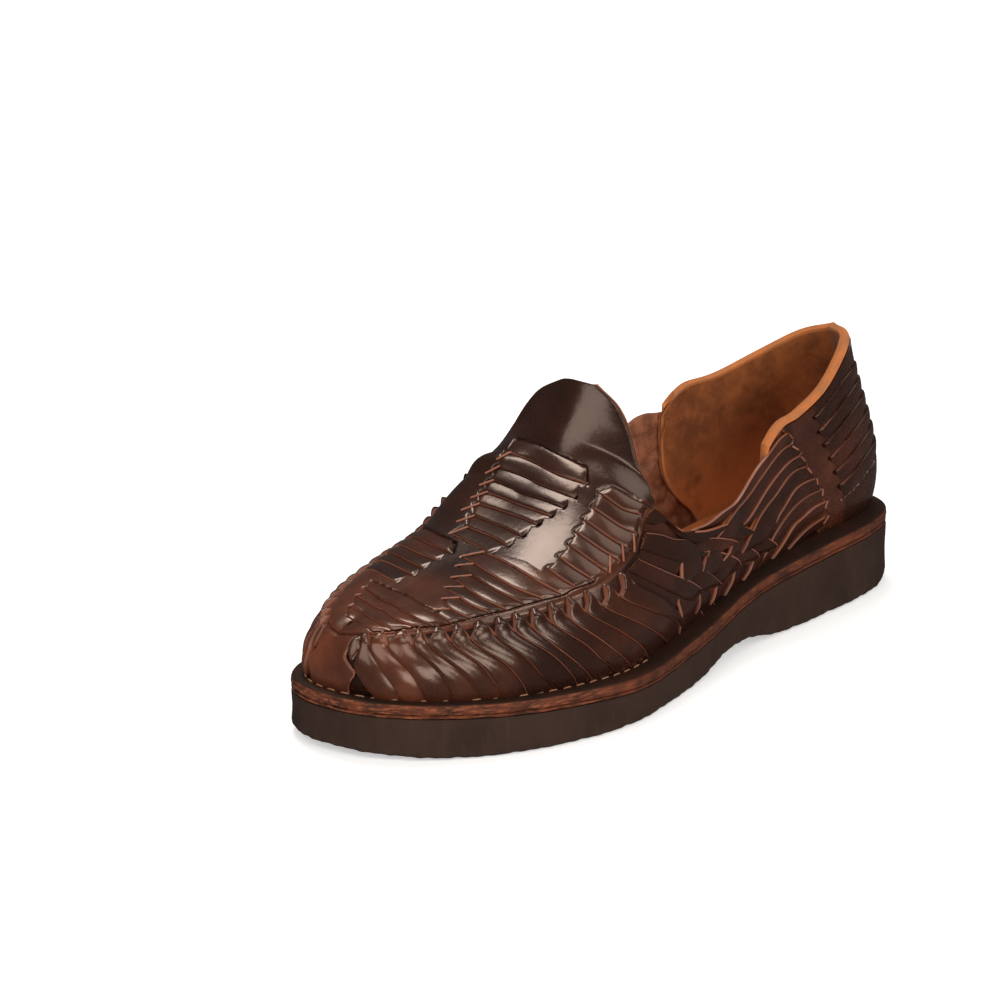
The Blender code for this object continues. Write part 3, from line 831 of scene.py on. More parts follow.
def build_panel(finish):
    """Smooth leather of toe cap, patch, spine, bands and tongue, sunk where straps are woven in."""
    toe = np.linspace(0.0, 0.04, 14, endpoint=False)
    turn = np.concatenate([toe, np.linspace(0.04, TONGUE_TIP, 236)])
    turn, cross = crossed(turn, np.linspace(-1.0, 1.0, 271))
    windows = (LONG_WINDOW, CROSS_WINDOW, INNER_WINDOW)
    depth = np.maximum.reduce([window_depth(over, corners, turn, cross) for corners in windows])
    top, lip = sunk(depth)
    side, vamp = np.abs(cross), turn < THROAT
    top = top - BELT_SINK * ease((side - 0.91) / 0.07) * vamp
    rim = np.where(turn > THROAT + 0.012, ease((side - 0.972) / 0.02), 0.0)
    tip = ease((turn - TONGUE_TIP + 0.003) / 0.0025)
    edge = np.maximum(0.40 * np.maximum(rim, tip), 0.42 * lip * ease((0.84 - side) / 0.06))
    red = 0.70 * ease((0.30 - turn) / 0.06) + 0.45 * ease((side - 0.86) / 0.05) * vamp
    red = np.maximum(red, 0.75 * ease((0.10 - turn) / 0.05))
    soft = top - EDGE_THINNING * rim - 0.0003 * tip
    pile = Pile()
    closed_sheet(pile, over, turn, cross, soft, -WALL, edge=edge, red=np.clip(red, 0, 1))
    return pile.mesh("front_panel", finish)


# sections of lapped straps: share of the width, share of the thickness, cut edge
LAPPED_SECTION = np.array([
    (0.00, -0.35, 1.0), (-0.012, 0.30, 1.0), (-0.010, 0.88, 1.0), (0.015, 1.00, 0.2),
    (0.05, 1.03, 0.0), (0.20, 1.03, 0.0), (0.40, 0.96, 0.0), (0.62, 0.84, 0.0), (0.82, 0.68, 0.0),
    (1.00, 0.46, 0.0), (1.12, 0.20, 0.0), (1.14, -0.35, 0.0),
])
RIB_SECTION = np.array([
    (0.00, -0.35, 1.0), (-0.012, 0.30, 1.0), (-0.010, 0.85, 1.0), (0.015, 1.00, 0.3),
    (0.05, 1.06, 0.0), (0.20, 1.10, 0.0), (0.40, 1.08, 0.0), (0.62, 0.98, 0.0), (0.82, 0.82, 0.0),
    (1.00, 0.58, 0.0), (1.10, 0.35, 0.0), (1.12, -0.35, 0.0),
])


def lapped_strap(pile, chart, front, rear, thick, red, pale, count=48, section=LAPPED_SECTION,
                 tucks=(1, 1), swell=1.0, rear_pale=0.0):
    """Strap between two seams: its cut front edge stands up, its rear edge slides under the next.

    pale is the strength of its raw edge. A tucked end comes down to the leather around it.
    """
    near, far = along_line(front, count), along_line(rear, count)
    share, height, cut = section.T
    place = near[:, None, :] + (far - near)[:, None, :] * share[None, :, None]
    travel = travel_of(chart(*(0.5 * (near + far)).T))
    dive = np.ones(count)
    if tucks[0]:
        dive *= ease(travel / TUCK)
    if tucks[1]:
        dive *= ease((travel[-1] - travel) / TUCK)
    full = thick * height[None, :] * np.broadcast_to(swell, count)[:, None]
    low = np.minimum(full, UNDER_LIP)
    rise = low + (full - low) * dive[:, None]
    points = lifted(chart, place[..., 0], place[..., 1], rise)
    edge = cut * np.broadcast_to(pale, count)[:, None]
    rear_edge = (share > 0.95) * np.broadcast_to(rear_pale, count)[:, None]
    pile.grid(points, flip=chart is not skirt, edge=edge + rear_edge, red=red, flesh=0.0)


def tone(number):
    """Steady pseudo-random share for the number of a strap."""
    return (math.sin(number * 12.9898) * 43758.5453) % 1.0


def build_panel_straps(finish):
    """All straps woven through the front panel, each between two neighbouring seams."""
    pile = Pile()
    number = 0
    groups = [([CAP_SEAM] + LONG_SEAMS, 0.62), (OUTER_SEAMS, 0.2), (CROSS_SEAMS, 0.12),
              (INNER_SEAMS, 0.2)]
    for seams, red in groups:
        for front, rear in zip(seams[:-1], seams[1:]):
            number += 1
            shade = 0.75 if front is CAP_SEAM else red + 0.25 * (tone(number) - 0.5)
            lapped_strap(pile, over, front, rear, STRAP_THICK, shade, 0.45 + 0.5 * tone(number + 3))
    return pile.mesh("panel_straps", finish)


# seams between ribs: turn at the rises of RIB_RISES
RIB_RISES = (0.80, 0.50, 0.25, 0.0)
RIB_SEAMS = [
    (0.075, 0.066, 0.079, 0.098), (0.092, 0.109, 0.124, 0.136), (0.126, 0.150, 0.161, 0.167),
    (0.172, 0.189, 0.196, 0.200), (0.196, 0.215, 0.225, 0.232), (0.228, 0.243, 0.249, 0.256),
    (0.254, 0.270, 0.277, 0.283), (0.286, 0.297, 0.303, 0.317), (0.311, 0.325, 0.333, 0.342),
    (0.333, 0.339, 0.349, 0.362), (0.358, 0.369, 0.377, 0.397), (0.380, 0.389, 0.401, 0.421),
    (0.403, 0.418, 0.432, 0.449), (0.425, 0.443, 0.460, 0.482), (0.449, 0.467, 0.487, 0.505),
    (0.472, 0.486, 0.497, 0.518),
]
FOLD = 0.78             # place of a rib's folded tip between its seams


def build_ribs(finish):
    """Straps that curve up from the sole; the top of each folds to a tip that enters the band."""
    pile = Pile()
    for side, chart in enumerate((skirt, inner_skirt)):
        for number, (front, rear) in enumerate(zip(RIB_SEAMS[:-1], RIB_SEAMS[1:])):
            gap = rear[0] - front[0]
            reach = 1.0 + 0.10 * ease((len(RIB_SEAMS) - 2 - number) / 4)
            tip = front[0] + FOLD * gap
            leading = [(tip, reach), (front[0] + 0.42 * gap, reach - 0.12)]
            leading += zip(front, RIB_RISES)
            trailing = [(tip + 0.10 * gap, reach), (rear[0] - 0.05 * gap, reach - 0.12)]
            trailing += zip(rear, RIB_RISES)
            # ribs further back get less red: painted shade, darker towards the heel
            shade = 0.60 * ease(1.0 - number / 7) + 0.14 * tone(number + 20 * side)
            rise = along_line(leading, 64)[:, 1]
            swell = 1.0 + 0.45 * bell(rise, 0.95, 0.07) + 0.2 * bell(rise, 0.5, 0.3)
            bare = 0.6 * ease((rise - 0.80) / 0.05)
            pale = 0.5 + 0.4 * tone(number + 5)
            lapped_strap(pile, chart, leading, trailing, RIB_THICK, shade, pale, 64, RIB_SECTION,
                         (1, 0), swell, bare)
    return pile.mesh("ribs", finish)


# side edge of the toe cap's wall: rise, turn
TOE_FLAP = [
    (0.0, 0.050), (0.12, 0.050), (0.26, 0.056), (0.36, 0.063), (0.42, 0.064), (0.48, 0.058),
    (0.62, 0.046), (0.80, 0.053), (1.0, 0.066),
]

# seams of the short strap that lies on each side of it, as (turn, rise)
TOE_TONGUE = (
    [(0.069, 0.99), (0.056, 0.86), (0.053, 0.72), (0.056, 0.60)],
    [(0.073, 0.99), (0.074, 0.86), (0.073, 0.74), (0.064, 0.60)],
)


def build_toe_wall(finish):
    """Toe cap's wall down to the sole: a smooth flap whose sides lie on the first ribs."""
    share, rise = crossed(np.linspace(-1.0, 1.0, 110), np.linspace(0.0, 1.0, 90))
    turn = share * curve_through(rise, TOE_FLAP)[..., 0]
    border = ease((np.abs(share) - 0.93) / 0.07)
    top = 0.0017 - EDGE_THINNING * ease((rise - 0.9) / 0.1) - 0.0005 * border
    pale = 0.7 * ease((np.abs(share) - 0.965) / 0.02) * ease((rise - 0.2) / 0.1)
    pile = Pile()
    closed_sheet(pile, skirt, turn, rise, top, 0.0003, edge=pale, red=0.95)
    for chart in (skirt, inner_skirt):
        lapped_strap(pile, chart, *TOE_TONGUE, RIB_THICK, 0.5, 0.6, 24, RIB_SECTION, (1, 0))
    return pile.mesh("toe_wall", finish)


# slits whose raw edge shows at the end of a strap, as two (turn, cross) places
SLITS = [
    ((0.226, -0.715), (0.250, -0.745)), ((0.247, -0.560), (0.273, -0.620)),
    ((0.264, -0.370), (0.291, -0.490)), ((0.287, -0.260), (0.315, -0.380)),
    ((0.313, -0.140), (0.334, -0.250)), ((0.335, -0.070), (0.362, -0.190)),
    ((0.458, -0.950), (0.472, -0.865)), ((0.479, -0.965), (0.492, -0.880)),
    ((0.496, -0.985), (0.510, -0.920)), ((0.371, 0.320), (0.395, 0.230)),
    ((0.398, 0.400), (0.420, 0.290)), ((0.424, 0.480), (0.445, 0.360)),
    ((0.452, 0.500), (0.469, 0.380)), ((0.478, 0.520), (0.491, 0.410)),
    ((0.503, 0.570), (0.520, 0.460)), ((0.529, 0.550), (0.546, 0.450)),
    ((0.105, 0.47), (0.115, 0.41)), ((0.150, 0.53), (0.156, 0.44)),
]
SLIT_STEPS = 14
SLIT_THICK = 0.0006


def raw_lip(pile, chart, places, width, height, red, pale):
    """Thin rounded strip of raw leather along a line of chart places, lifted by a height."""
    line = along_line(places, SLIT_STEPS)
    centre = lifted(chart, line[:, 0], line[:, 1], height)
    ahead = unit(np.gradient(centre, axis=0))
    aside = unit(np.cross(ahead, outward(chart, line[:, 0], line[:, 1])))
    up = np.cross(aside, ahead)
    half, thick, corner = 0.5 * width, SLIT_THICK, 0.3 * SLIT_THICK
    section = np.array([
        (-half, corner), (-half, thick - corner), (-half + corner, thick), (half - corner, thick),
        (half, thick - corner), (half, corner), (half - corner, 0.0), (-half + corner, 0.0),
    ])
    across, level = section.T
    points = (centre[:, None, :] + aside[:, None, :] * across[None, :, None]
              + up[:, None, :] * level[None, :, None])
    pile.grid(points, closed=True, edge=pale, red=red, flesh=0.0)


def build_slits(finish):
    """Raw lips of the slits that the straps come out of."""
    pile = Pile()
    for number, slit in enumerate(SLITS):
        raw_lip(pile, over, slit, 0.0008, LIP - 0.0002, 0.4, 0.55 + 0.35 * tone(number))
    for number, places in enumerate(RISING_EDGES[:8]):
        rises = places[-1][1] + np.array([0.004, -0.05])
        turns = quarter_front(rises) + 0.0015
        for side in (turns, 2.0 - turns):
            raw_lip(pile, heel, list(zip(side, rises)), 0.0007, UNDER_LIP, 0.3, 0.5 + 0.3 * tone(number))
    return pile.mesh("slit_edges", finish)


# upper edges of the straps woven at the side, as (turn, rise): those that run on from the ribs
# and fall to the sole, and those that rise from the sole and run back to the quarter; each
# strap reaches down to the edge of the next
FALLING_EDGES = [
    [(0.592, 1.00), (0.610, 0.93), (0.627, 0.84), (0.638, 0.72), (0.642, 0.56), (0.648, 0.38),
     (0.656, 0.18), (0.664, -0.02)],
    [(0.534, 0.98), (0.542, 0.90), (0.560, 0.86), (0.585, 0.86), (0.604, 0.81), (0.614, 0.66),
     (0.621, 0.42), (0.628, 0.20), (0.636, -0.02)],
    [(0.519, 0.97), (0.528, 0.84), (0.536, 0.72), (0.552, 0.65), (0.575, 0.67), (0.592, 0.63),
     (0.599, 0.45), (0.604, 0.22), (0.612, -0.02)],
    [(0.507, 0.97), (0.514, 0.83), (0.520, 0.71), (0.529, 0.58), (0.542, 0.42), (0.560, 0.25),
     (0.576, 0.11), (0.590, -0.02)],
    [(0.493, 0.96), (0.502, 0.78), (0.511, 0.59), (0.520, 0.44), (0.530, 0.30), (0.546, 0.14),
     (0.563, -0.02)],
    [(0.479, 0.96), (0.488, 0.75), (0.498, 0.53), (0.508, 0.36), (0.520, 0.20), (0.532, 0.09),
     (0.543, -0.02)],
    [(0.466, 0.96), (0.475, 0.76), (0.485, 0.52), (0.494, 0.32), (0.506, 0.13), (0.518, -0.02)],
]
RISING_EDGES = [
    [(0.499, -0.02), (0.498, 0.14), (0.500, 0.30), (0.508, 0.46), (0.524, 0.56), (0.547, 0.64),
     (0.570, 0.82), (0.592, 0.985), (0.616, 1.000), (0.640, 1.015), (0.660, 1.020), (0.675, 0.990),
     (0.690, 0.940), (0.712, 0.915), (0.738, 0.90)],
    [(0.522, -0.02), (0.528, 0.14), (0.537, 0.31), (0.556, 0.47), (0.582, 0.62), (0.607, 0.76),
     (0.626, 0.89), (0.646, 0.945), (0.664, 0.905), (0.688, 0.86), (0.713, 0.82), (0.738, 0.80)],
    [(0.547, -0.02), (0.556, 0.12), (0.570, 0.28), (0.587, 0.43), (0.610, 0.55), (0.630, 0.67),
     (0.650, 0.73), (0.676, 0.74), (0.702, 0.71), (0.738, 0.69)],
    [(0.573, -0.02), (0.588, 0.14), (0.605, 0.32), (0.628, 0.51), (0.655, 0.625), (0.680, 0.62),
     (0.704, 0.62), (0.738, 0.585)],
    [(0.601, -0.02), (0.618, 0.12), (0.642, 0.29), (0.667, 0.42), (0.685, 0.465), (0.703, 0.49),
     (0.738, 0.475)],
    [(0.624, -0.02), (0.640, 0.14), (0.654, 0.28), (0.668, 0.34), (0.684, 0.37), (0.704, 0.372),
     (0.738, 0.37)],
    [(0.650, -0.02), (0.662, 0.08), (0.683, 0.21), (0.702, 0.23), (0.722, 0.255), (0.738, 0.26)],
    [(0.675, -0.02), (0.690, 0.05), (0.710, 0.10), (0.738, 0.13)],
    [(0.700, -0.02), (0.712, 0.00), (0.724, 0.02), (0.738, 0.03)],
]
SIDE_THICK = 0.0013
SIDE_LIFT = 0.0009      # rise and fall of a strap over and under its neighbours
CROSSING = 0.004        # distance at which two straps count as crossing

# section of a woven strap: share of the width, share of the thickness, pale edge, back
WOVEN_SECTION = np.array([
    (0.000, 0.25, 0.8, 0.0), (-0.006, 0.55, 1.0, 0.0), (0.000, 0.95, 1.0, 0.0),
    (0.020, 1.06, 1.0, 0.0), (0.048, 1.12, 0.8, 0.0), (0.075, 1.15, 0.0, 0.0),
    (0.30, 1.14, 0.0, 0.0), (0.55, 1.00, 0.0, 0.0), (0.80, 0.78, 0.0, 0.0), (0.98, 0.50, 0.0, 0.0),
    (1.10, 0.15, 0.0, 0.0), (1.12, -0.55, 0.5, 0.5), (1.00, -0.62, 0.0, 1.0),
    (0.75, -0.50, 0.0, 1.0), (0.25, -0.10, 0.0, 1.0), (0.030, 0.05, 0.2, 1.0),
])


def weave_lift(own, others, parity):
    """Lift along one strap, from -1 under to 1 over, by turns at its crossings with the others."""
    run, places, sides = travel_of(own), [], []
    for number, other in enumerate(others):
        gaps = np.linalg.norm(own[:, None, :] - other[None, :, :], axis=-1)
        if gaps.min() < CROSSING:
            places.append(run[gaps.min(axis=1).argmin()])
            sides.append(1.0 if (number + parity) % 2 == 0 else -1.0)
    if len(places) < 2:
        return np.zeros(len(run))
    order = np.argsort(places)
    places, sides = np.array(places)[order], np.array(sides)[order]
    share = np.interp(run, places, np.arange(len(places)))
    first = np.clip(np.floor(share).astype(int), 0, len(places) - 2)
    lift = sides[first] + (sides[first + 1] - sides[first]) * ease(share - first)
    return lift * ease(1.0 - (run - places[-1] - CROSSING) / (2.0 * CROSSING))


def woven_strap(pile, chart, upper, lower, lift, red, pale):
    """Closed strip between two edges of a weave, lifted along its length."""
    share, level, cut, back = WOVEN_SECTION.T
    place = upper[:, None, :] + (lower - upper)[:, None, :] * share[None, :, None]
    height = SIDE_THICK * level[None, :] + SIDE_LIFT * (1.0 + lift)[:, None] - INLAY_DEPTH
    points = lifted(chart, place[..., 0], place[..., 1], height)
    pile.grid(points, closed=True, flip=chart is not skirt, edge=cut * pale, red=red, flesh=back)


def build_side_weave(finish):
    """Basket of crossing straps between the ribs and the heel quarter on both sides."""
    pile = Pile()
    families = []
    for edges in (FALLING_EDGES, RISING_EDGES):
        lines = [along_line(places, 110) for places in edges]
        families.append(list(zip(lines[:-1], lines[1:])))
    for side, chart in enumerate((skirt, inner_skirt)):
        middles = [[chart(*(0.5 * (upper + lower)).T) for upper, lower in straps]
                   for straps in families]
        for family, straps in enumerate(families):
            for number, (upper, lower) in enumerate(straps):
                lift = weave_lift(middles[family][number], middles[1 - family], number + family)
                shade = 0.04 + 0.22 * tone(number + 31 * family + 57 * side)
                pale = (0.62, 0.42)[family] + 0.28 * tone(number + 5 + 9 * family)
                woven_strap(pile, chart, upper, lower, lift, shade, pale)
    return pile.mesh("side_weave", finish)


# upper seams of the straps round the heel: rises at the turns of HEEL_TURNS
HEEL_TURNS = (0.772, 0.80, 0.85, 0.92, 1.0)
HEEL_SEAMS = [
    (0.885, 0.905, 0.885, 0.830, 0.790), (0.775, 0.785, 0.780, 0.745, 0.710),
    (0.665, 0.685, 0.680, 0.655, 0.625), (0.555, 0.575, 0.580, 0.565, 0.540),
    (0.440, 0.460, 0.480, 0.475, 0.455), (0.325, 0.350, 0.380, 0.385, 0.370),
    (0.205, 0.235, 0.275, 0.290, 0.285),
]


def heel_seam(rises):
    """Seam as (turn, rise) places from the outer band round the heel to the inner band."""
    outer = list(zip(HEEL_TURNS, rises))
    inner = [(2.0 - turn, rise) for turn, rise in outer[-2::-1]]
    return outer + inner


# front edge of the quarter's band, cut in steps for the straps: rise, turn
QUARTER_FRONT = [
    (0.0, 0.735), (0.12, 0.735), (0.13, 0.744), (0.25, 0.733), (0.26, 0.743), (0.36, 0.730),
    (0.375, 0.740), (0.465, 0.727), (0.48, 0.736), (0.585, 0.724), (0.60, 0.733), (0.69, 0.721),
    (0.705, 0.730), (0.81, 0.715), (0.83, 0.723), (0.965, 0.712),
]

# a notch of the straps' window at the front end of each seam: outer and inner turn
NOTCH_TIP = 0.766
NOTCH_ROOT = 0.782


def quarter_front(rise):
    """Turn of the band's front edge."""
    return np.interp(rise, *np.array(QUARTER_FRONT).T)


def heel_window():
    """Corners of the window round the heel in which the straps lie."""
    upper_seam = heel_seam(HEEL_SEAMS[0])
    start, start_rise = upper_seam[0]
    corners = [(start - 0.004, start_rise + 0.012)] + upper_seam[1:-1]
    corners += [(2.004 - start, start_rise + 0.012)]
    for rises in HEEL_SEAMS[1:]:
        corners += [(2.0 - NOTCH_ROOT, rises[0] + 0.03), (2.0 - NOTCH_TIP, rises[0] + 0.004)]
    corners += heel_seam(HEEL_SEAMS[-1])[1:-1][::-1]
    for rises in HEEL_SEAMS[:0:-1]:
        corners += [(NOTCH_TIP, rises[0] + 0.004), (NOTCH_ROOT, rises[0] + 0.03)]
    return corners


def build_quarter(finish):
    """Smooth leather of the heel quarter: a band each side and the counter below, straps let in."""
    share, rise = crossed(np.linspace(0.0, 1.0, 360), np.linspace(0.0, 0.965, 110))
    start = quarter_front(rise)
    turn = start + (2.0 - 2.0 * start) * share
    top, lip = sunk(window_depth(heel, heel_window(), turn, rise))
    behind = np.abs(turn - 1.0)
    front = ease((np.minimum(share, 1.0 - share) - 0.006) / -0.004)
    red = 0.35 * ease((0.03 - np.abs(behind - 0.25)) / 0.01) + 0.08
    edge = np.maximum(0.42 * lip * (behind > 0.17), 0.35 * front)
    pile = Pile()
    closed_sheet(pile, heel, turn, rise * rim_swell(turn), top - EDGE_THINNING * front, -INLAY_DEPTH,
                 edge=edge, red=red)
    return pile.mesh("heel_quarter", finish)


def build_heel_straps(finish):
    """Straps let in round the heel, each lapped over the one above it."""
    pile = Pile()
    seams = [heel_seam(rises) for rises in HEEL_SEAMS]
    for number, (upper, lower) in enumerate(zip(seams[:-1], seams[1:])):
        shade = 0.03 + 0.12 * tone(number + 7)
        behind = np.abs(np.linspace(-1.0, 1.0, 150))
        pale = (0.40 + 0.3 * tone(number)) * (0.45 + 0.55 * ease((behind - 0.6) / 0.3))
        lapped_strap(pile, heel, upper, lower, HEEL_STRAP_THICK, shade, pale, count=150)
    return pile.mesh("heel_straps", finish)


LINING = 0.0008
RIM_DROP = 0.026        # rise over which the rolled rim comes down outside

# front edge of the lining on the outer and the inner side: rise, turn
LINING_OUTER = [
    (0.0, 0.640), (0.5, 0.655), (0.80, 0.678), (0.88, 0.688), (0.93, 0.693), (0.97, 0.690),
    (1.1, 0.690),
]
LINING_INNER = [
    (0.0, 0.668), (0.11, 0.664), (0.27, 0.655), (0.50, 0.656), (0.72, 0.670), (0.88, 0.682),
    (0.94, 0.687), (0.975, 0.697), (1.0, 0.709), (1.02, 0.718),
]


def rim_swell(turn):
    """Share by which the inner side's topline stands higher near its front corner."""
    return 1.0 + 0.05 * bell(2.0 - turn, 0.735, 0.032)


def build_lining(finish):
    """Suede lining of the quarter with its rim rolled over the topline."""
    inner_rows, outer_rows = 50, 30
    inside = np.linspace(0.0, 1.0, inner_rows)
    roll = np.array([
        # rise, height
        (1.004, -WALL - 0.0002), (1.012, -0.0014), (1.012, -0.0004), (1.004, 0.0004),
        (1.0 - 0.5 * RIM_DROP, 0.0009), (1.0 - RIM_DROP, 0.0008), (1.0 - RIM_DROP - 0.004, 0.0002),
    ])
    outside = np.linspace(1.0 - RIM_DROP - 0.006, 0.0, outer_rows)
    rise = np.concatenate([inside, roll[:, 0], outside])
    height = [np.full(inner_rows, -WALL - LINING), roll[:, 1], np.full(outer_rows, -0.0014)]
    rim = [ease((inside - 0.97) / 0.025), np.ones(len(roll)), np.zeros(outer_rows)]
    share, rises = crossed(np.linspace(0.0, 1.0, 300), rise)
    start = curve_through(rises, LINING_OUTER)[..., 0]
    end = 2.0 - curve_through(rises, LINING_INNER)[..., 0]
    turn = start + (end - start) * share
    points = lifted(heel, turn, rises * rim_swell(turn), np.concatenate(height))
    front = ease(1.0 - np.minimum(share, 1.0 - share) / 0.010)
    low = ease(1.0 - rises / 0.75)
    pile = Pile()
    pile.grid(points, closed=True, flip=True, rim=np.maximum(np.concatenate(rim), front), low=low)
    for row, way in ((0, 1), (-1, -1)):
        inner_line, outer_line = points[row, :inner_rows], points[row, :-inner_rows - 1:-1]
        pile.grid(np.stack([outer_line, inner_line])[::way], rim=1.0, low=0.0)
    return pile.mesh("quarter_lining", finish)


def build_vamp_lining(finish):
    """Thin lining behind the ribs, closed to the sole, so that gaps between ribs look dark."""
    pile = Pile()
    for chart in (skirt, inner_skirt):
        turn, rise = crossed(np.linspace(0.0, 0.515, 120), np.linspace(0.0, 1.0, 40))
        closed_sheet(pile, chart, turn, rise, -0.0002, -WALL, edge=0.0, red=0.0)
    return pile.mesh("vamp_backing", finish)


HEEL_ROLL = 0.0065      # lift of the heel's rear lower corner
TREAD_DEPTH = 0.0014
TREAD_BARS = 118.0      # to a metre along the sole
ZIGZAGS = 62.0          # to a metre across it
ZIGZAG_DEPTH = 0.009

OUTSOLE_LEVELS = [
    # inset, share of the way up, worn
    (0.0030, 0.0, 1.0), (0.0012, 0.03, 1.0), (0.0004, 0.10, 0.9), (0.0, 0.20, 0.4),
    (0.0002, 0.40, 0.0), (0.0003, 0.60, 0.0), (0.0001, 0.80, 0.0), (0.0, 0.95, 0.0),
    (0.0004, 1.0, 0.0), (0.0060, 1.0, 0.0),
]
MIDSOLE_LEVELS = [
    # inset, share of the way up, top
    (0.0060, 0.0, 0.0), (0.0006, 0.0, 0.0), (0.0001, 0.06, 0.0), (0.0, 0.20, 0.0),
    (0.0007, 0.26, 0.0), (0.0001, 0.33, 0.0), (-0.0002, 0.60, 0.0), (0.0, 0.88, 0.1),
    (0.0004, 0.97, 0.5), (0.0010, 1.0, 1.0), (0.0050, 0.99, 1.0), (0.0110, 0.98, 1.0),
    (0.0200, 0.97, 1.0),
]


def ripple(*phases):
    """Sum of sines of the phases, an uneven wave between -1 and 1."""
    return sum(np.sin(phase) for phase in phases) / len(phases)


def sole_rim():
    """Even turns round the whole sole, and the distance run along its edge."""
    turn = np.linspace(-1.0, 1.0, 900, endpoint=False)
    return turn, travel_of(sole_edge(turn))


def across_sole(half, outer_inset, inner_inset, columns):
    """Plan points from the inner to the outer edge of the sole, and their shares of the way."""
    outer, inner = sole_inset(half, outer_inset), sole_inset(-half, inner_inset)
    share = np.linspace(0.0, 1.0, columns)
    way = share[None, :, None]
    return inner[:, None, :] * (1 - way) + outer[:, None, :] * way, share


def walked_underside(y):
    """Ground face with the heel's rear corner rounded up."""
    back = np.clip((length_share(y) - 0.965) / 0.035, 0.0, 1.0)
    return ground_face(y) + HEEL_ROLL * back ** 2


def build_outsole(finish):
    """Thick rubber: upright wall with a rounded, slightly ragged lower edge and a lugged underside."""
    turn, arc = sole_rim()
    ragged = ripple(arc * 610.0, arc * 263.0 + 1.0, arc * 1130.0 + 2.0)
    wavy = ripple(arc * 95.0, arc * 41.0 + 0.7)
    rings = []
    for inset, share, wear in OUTSOLE_LEVELS:
        plan = sole_inset(turn, inset + 0.00025 * wavy * (0 < share < 1) + 0.0003 * ragged * wear)
        low, high = walked_underside(plan[:, 1]), rubber_top(plan[:, 1])
        lift = np.maximum(0.0002 * ragged * (share < 0.15), -low)
        rings.append(at_height(plan, low + (high - low) * share + lift))
    pile = Pile()
    pile.grid(np.stack(rings), closed=True, worn=np.array(OUTSOLE_LEVELS)[:, 2:])
    plan, share = across_sole(np.linspace(0.004, 0.996, 260), 0.0030, 0.0030, 90)
    x, y = plan[..., 0], plan[..., 1]
    zigzag = np.abs(((x * ZIGZAGS) % 1.0) - 0.5) * ZIGZAG_DEPTH
    tread = ease((np.abs((((y + zigzag) * TREAD_BARS) % 1.0) - 0.5) - 0.36) / 0.06)
    inside = ease(np.minimum(share, 1.0 - share) / 0.06 - 0.6)
    waist = ease((np.abs(length_share(y) - WAIST) - 0.10) / 0.02)
    low = walked_underside(y) + TREAD_DEPTH * tread * inside * waist
    pile.grid(at_height(plan, low), flip=True, worn=(1.0 - tread) * 0.6)
    return pile.mesh("rubber_sole", finish)


def build_midsole(finish):
    """Leather midsole: cut edge with a groove line, and an oiled top that runs on as the welt."""
    turn, arc = sole_rim()
    wavy = ripple(arc * 120.0, arc * 47.0 + 0.4, arc * 420.0)
    rings = []
    for inset, share, _ in MIDSOLE_LEVELS:
        plan = sole_inset(turn, inset + 0.00025 * wavy * (inset < 0.004))
        rings.append(at_height(plan, rubber_top(plan[:, 1]) + GAP + MIDSOLE_THICK * share))
    orange = 0.25 + 0.75 * ease((0.42 - np.abs(turn)) / 0.12)
    pile = Pile()
    pile.grid(np.stack(rings), closed=True, top=np.array(MIDSOLE_LEVELS)[:, 2:], orange=orange)
    for inset, share, flip in ((0.0200, 0.97, False), (0.0060, 0.0, True)):
        plan = across_sole(np.linspace(0.01, 0.99, 120), inset, inset, 12)[0]
        level = rubber_top(plan[..., 1]) + GAP + MIDSOLE_THICK * share
        pile.grid(at_height(plan, level), flip=flip, top=1.0, orange=0.0)
    return pile.mesh("stained_midsole", finish)


SOCK_CLEAR = 0.0016     # from the wall's inner face to the sock
PRINT_DEPTH = 0.0009    # hollows under the heel and the ball


def build_insole(finish):
    """Suede sock: slightly cupped at its border, with the foot's hollows pressed in."""
    half = np.linspace(0.02, 0.985, 200)
    outer, inner = (around(MARGIN, side * half) * WELT + WALL + SOCK_CLEAR for side in (1, -1))
    plan, share = across_sole(half, outer, inner, 60)
    x, y = plan[..., 0], plan[..., 1]
    cup = 0.0012 * ease((np.abs(share - 0.5) * 2.0 - 0.8) / 0.2)
    heel_print = PRINT_DEPTH * bell(y, 0.095, 0.024) * bell(x, 0.0, 0.018)
    ball_print = PRINT_DEPTH * bell(y, -0.055, 0.030) * bell(x, -0.008, 0.026)
    low = midsole_top(y) + GAP
    top = low + INSOLE_THICK - 0.0004 + cup - heel_print - ball_print
    ring = np.concatenate([at_height(plan, low), at_height(plan, top)[:, ::-1]], axis=1)
    pile = Pile()
    pile.grid(ring, closed=True, rim=0.0, low=0.6)
    return pile.mesh("suede_sock", finish)


STITCH_PITCH = 0.0062
STITCH_LONG = 0.0040
STITCH_WIDE = 0.0007
STITCHED_TO = 0.46      # turn at which the row ends on each side
STITCH_PLACE = 0.72     # share of the way from the welt's edge to the upper


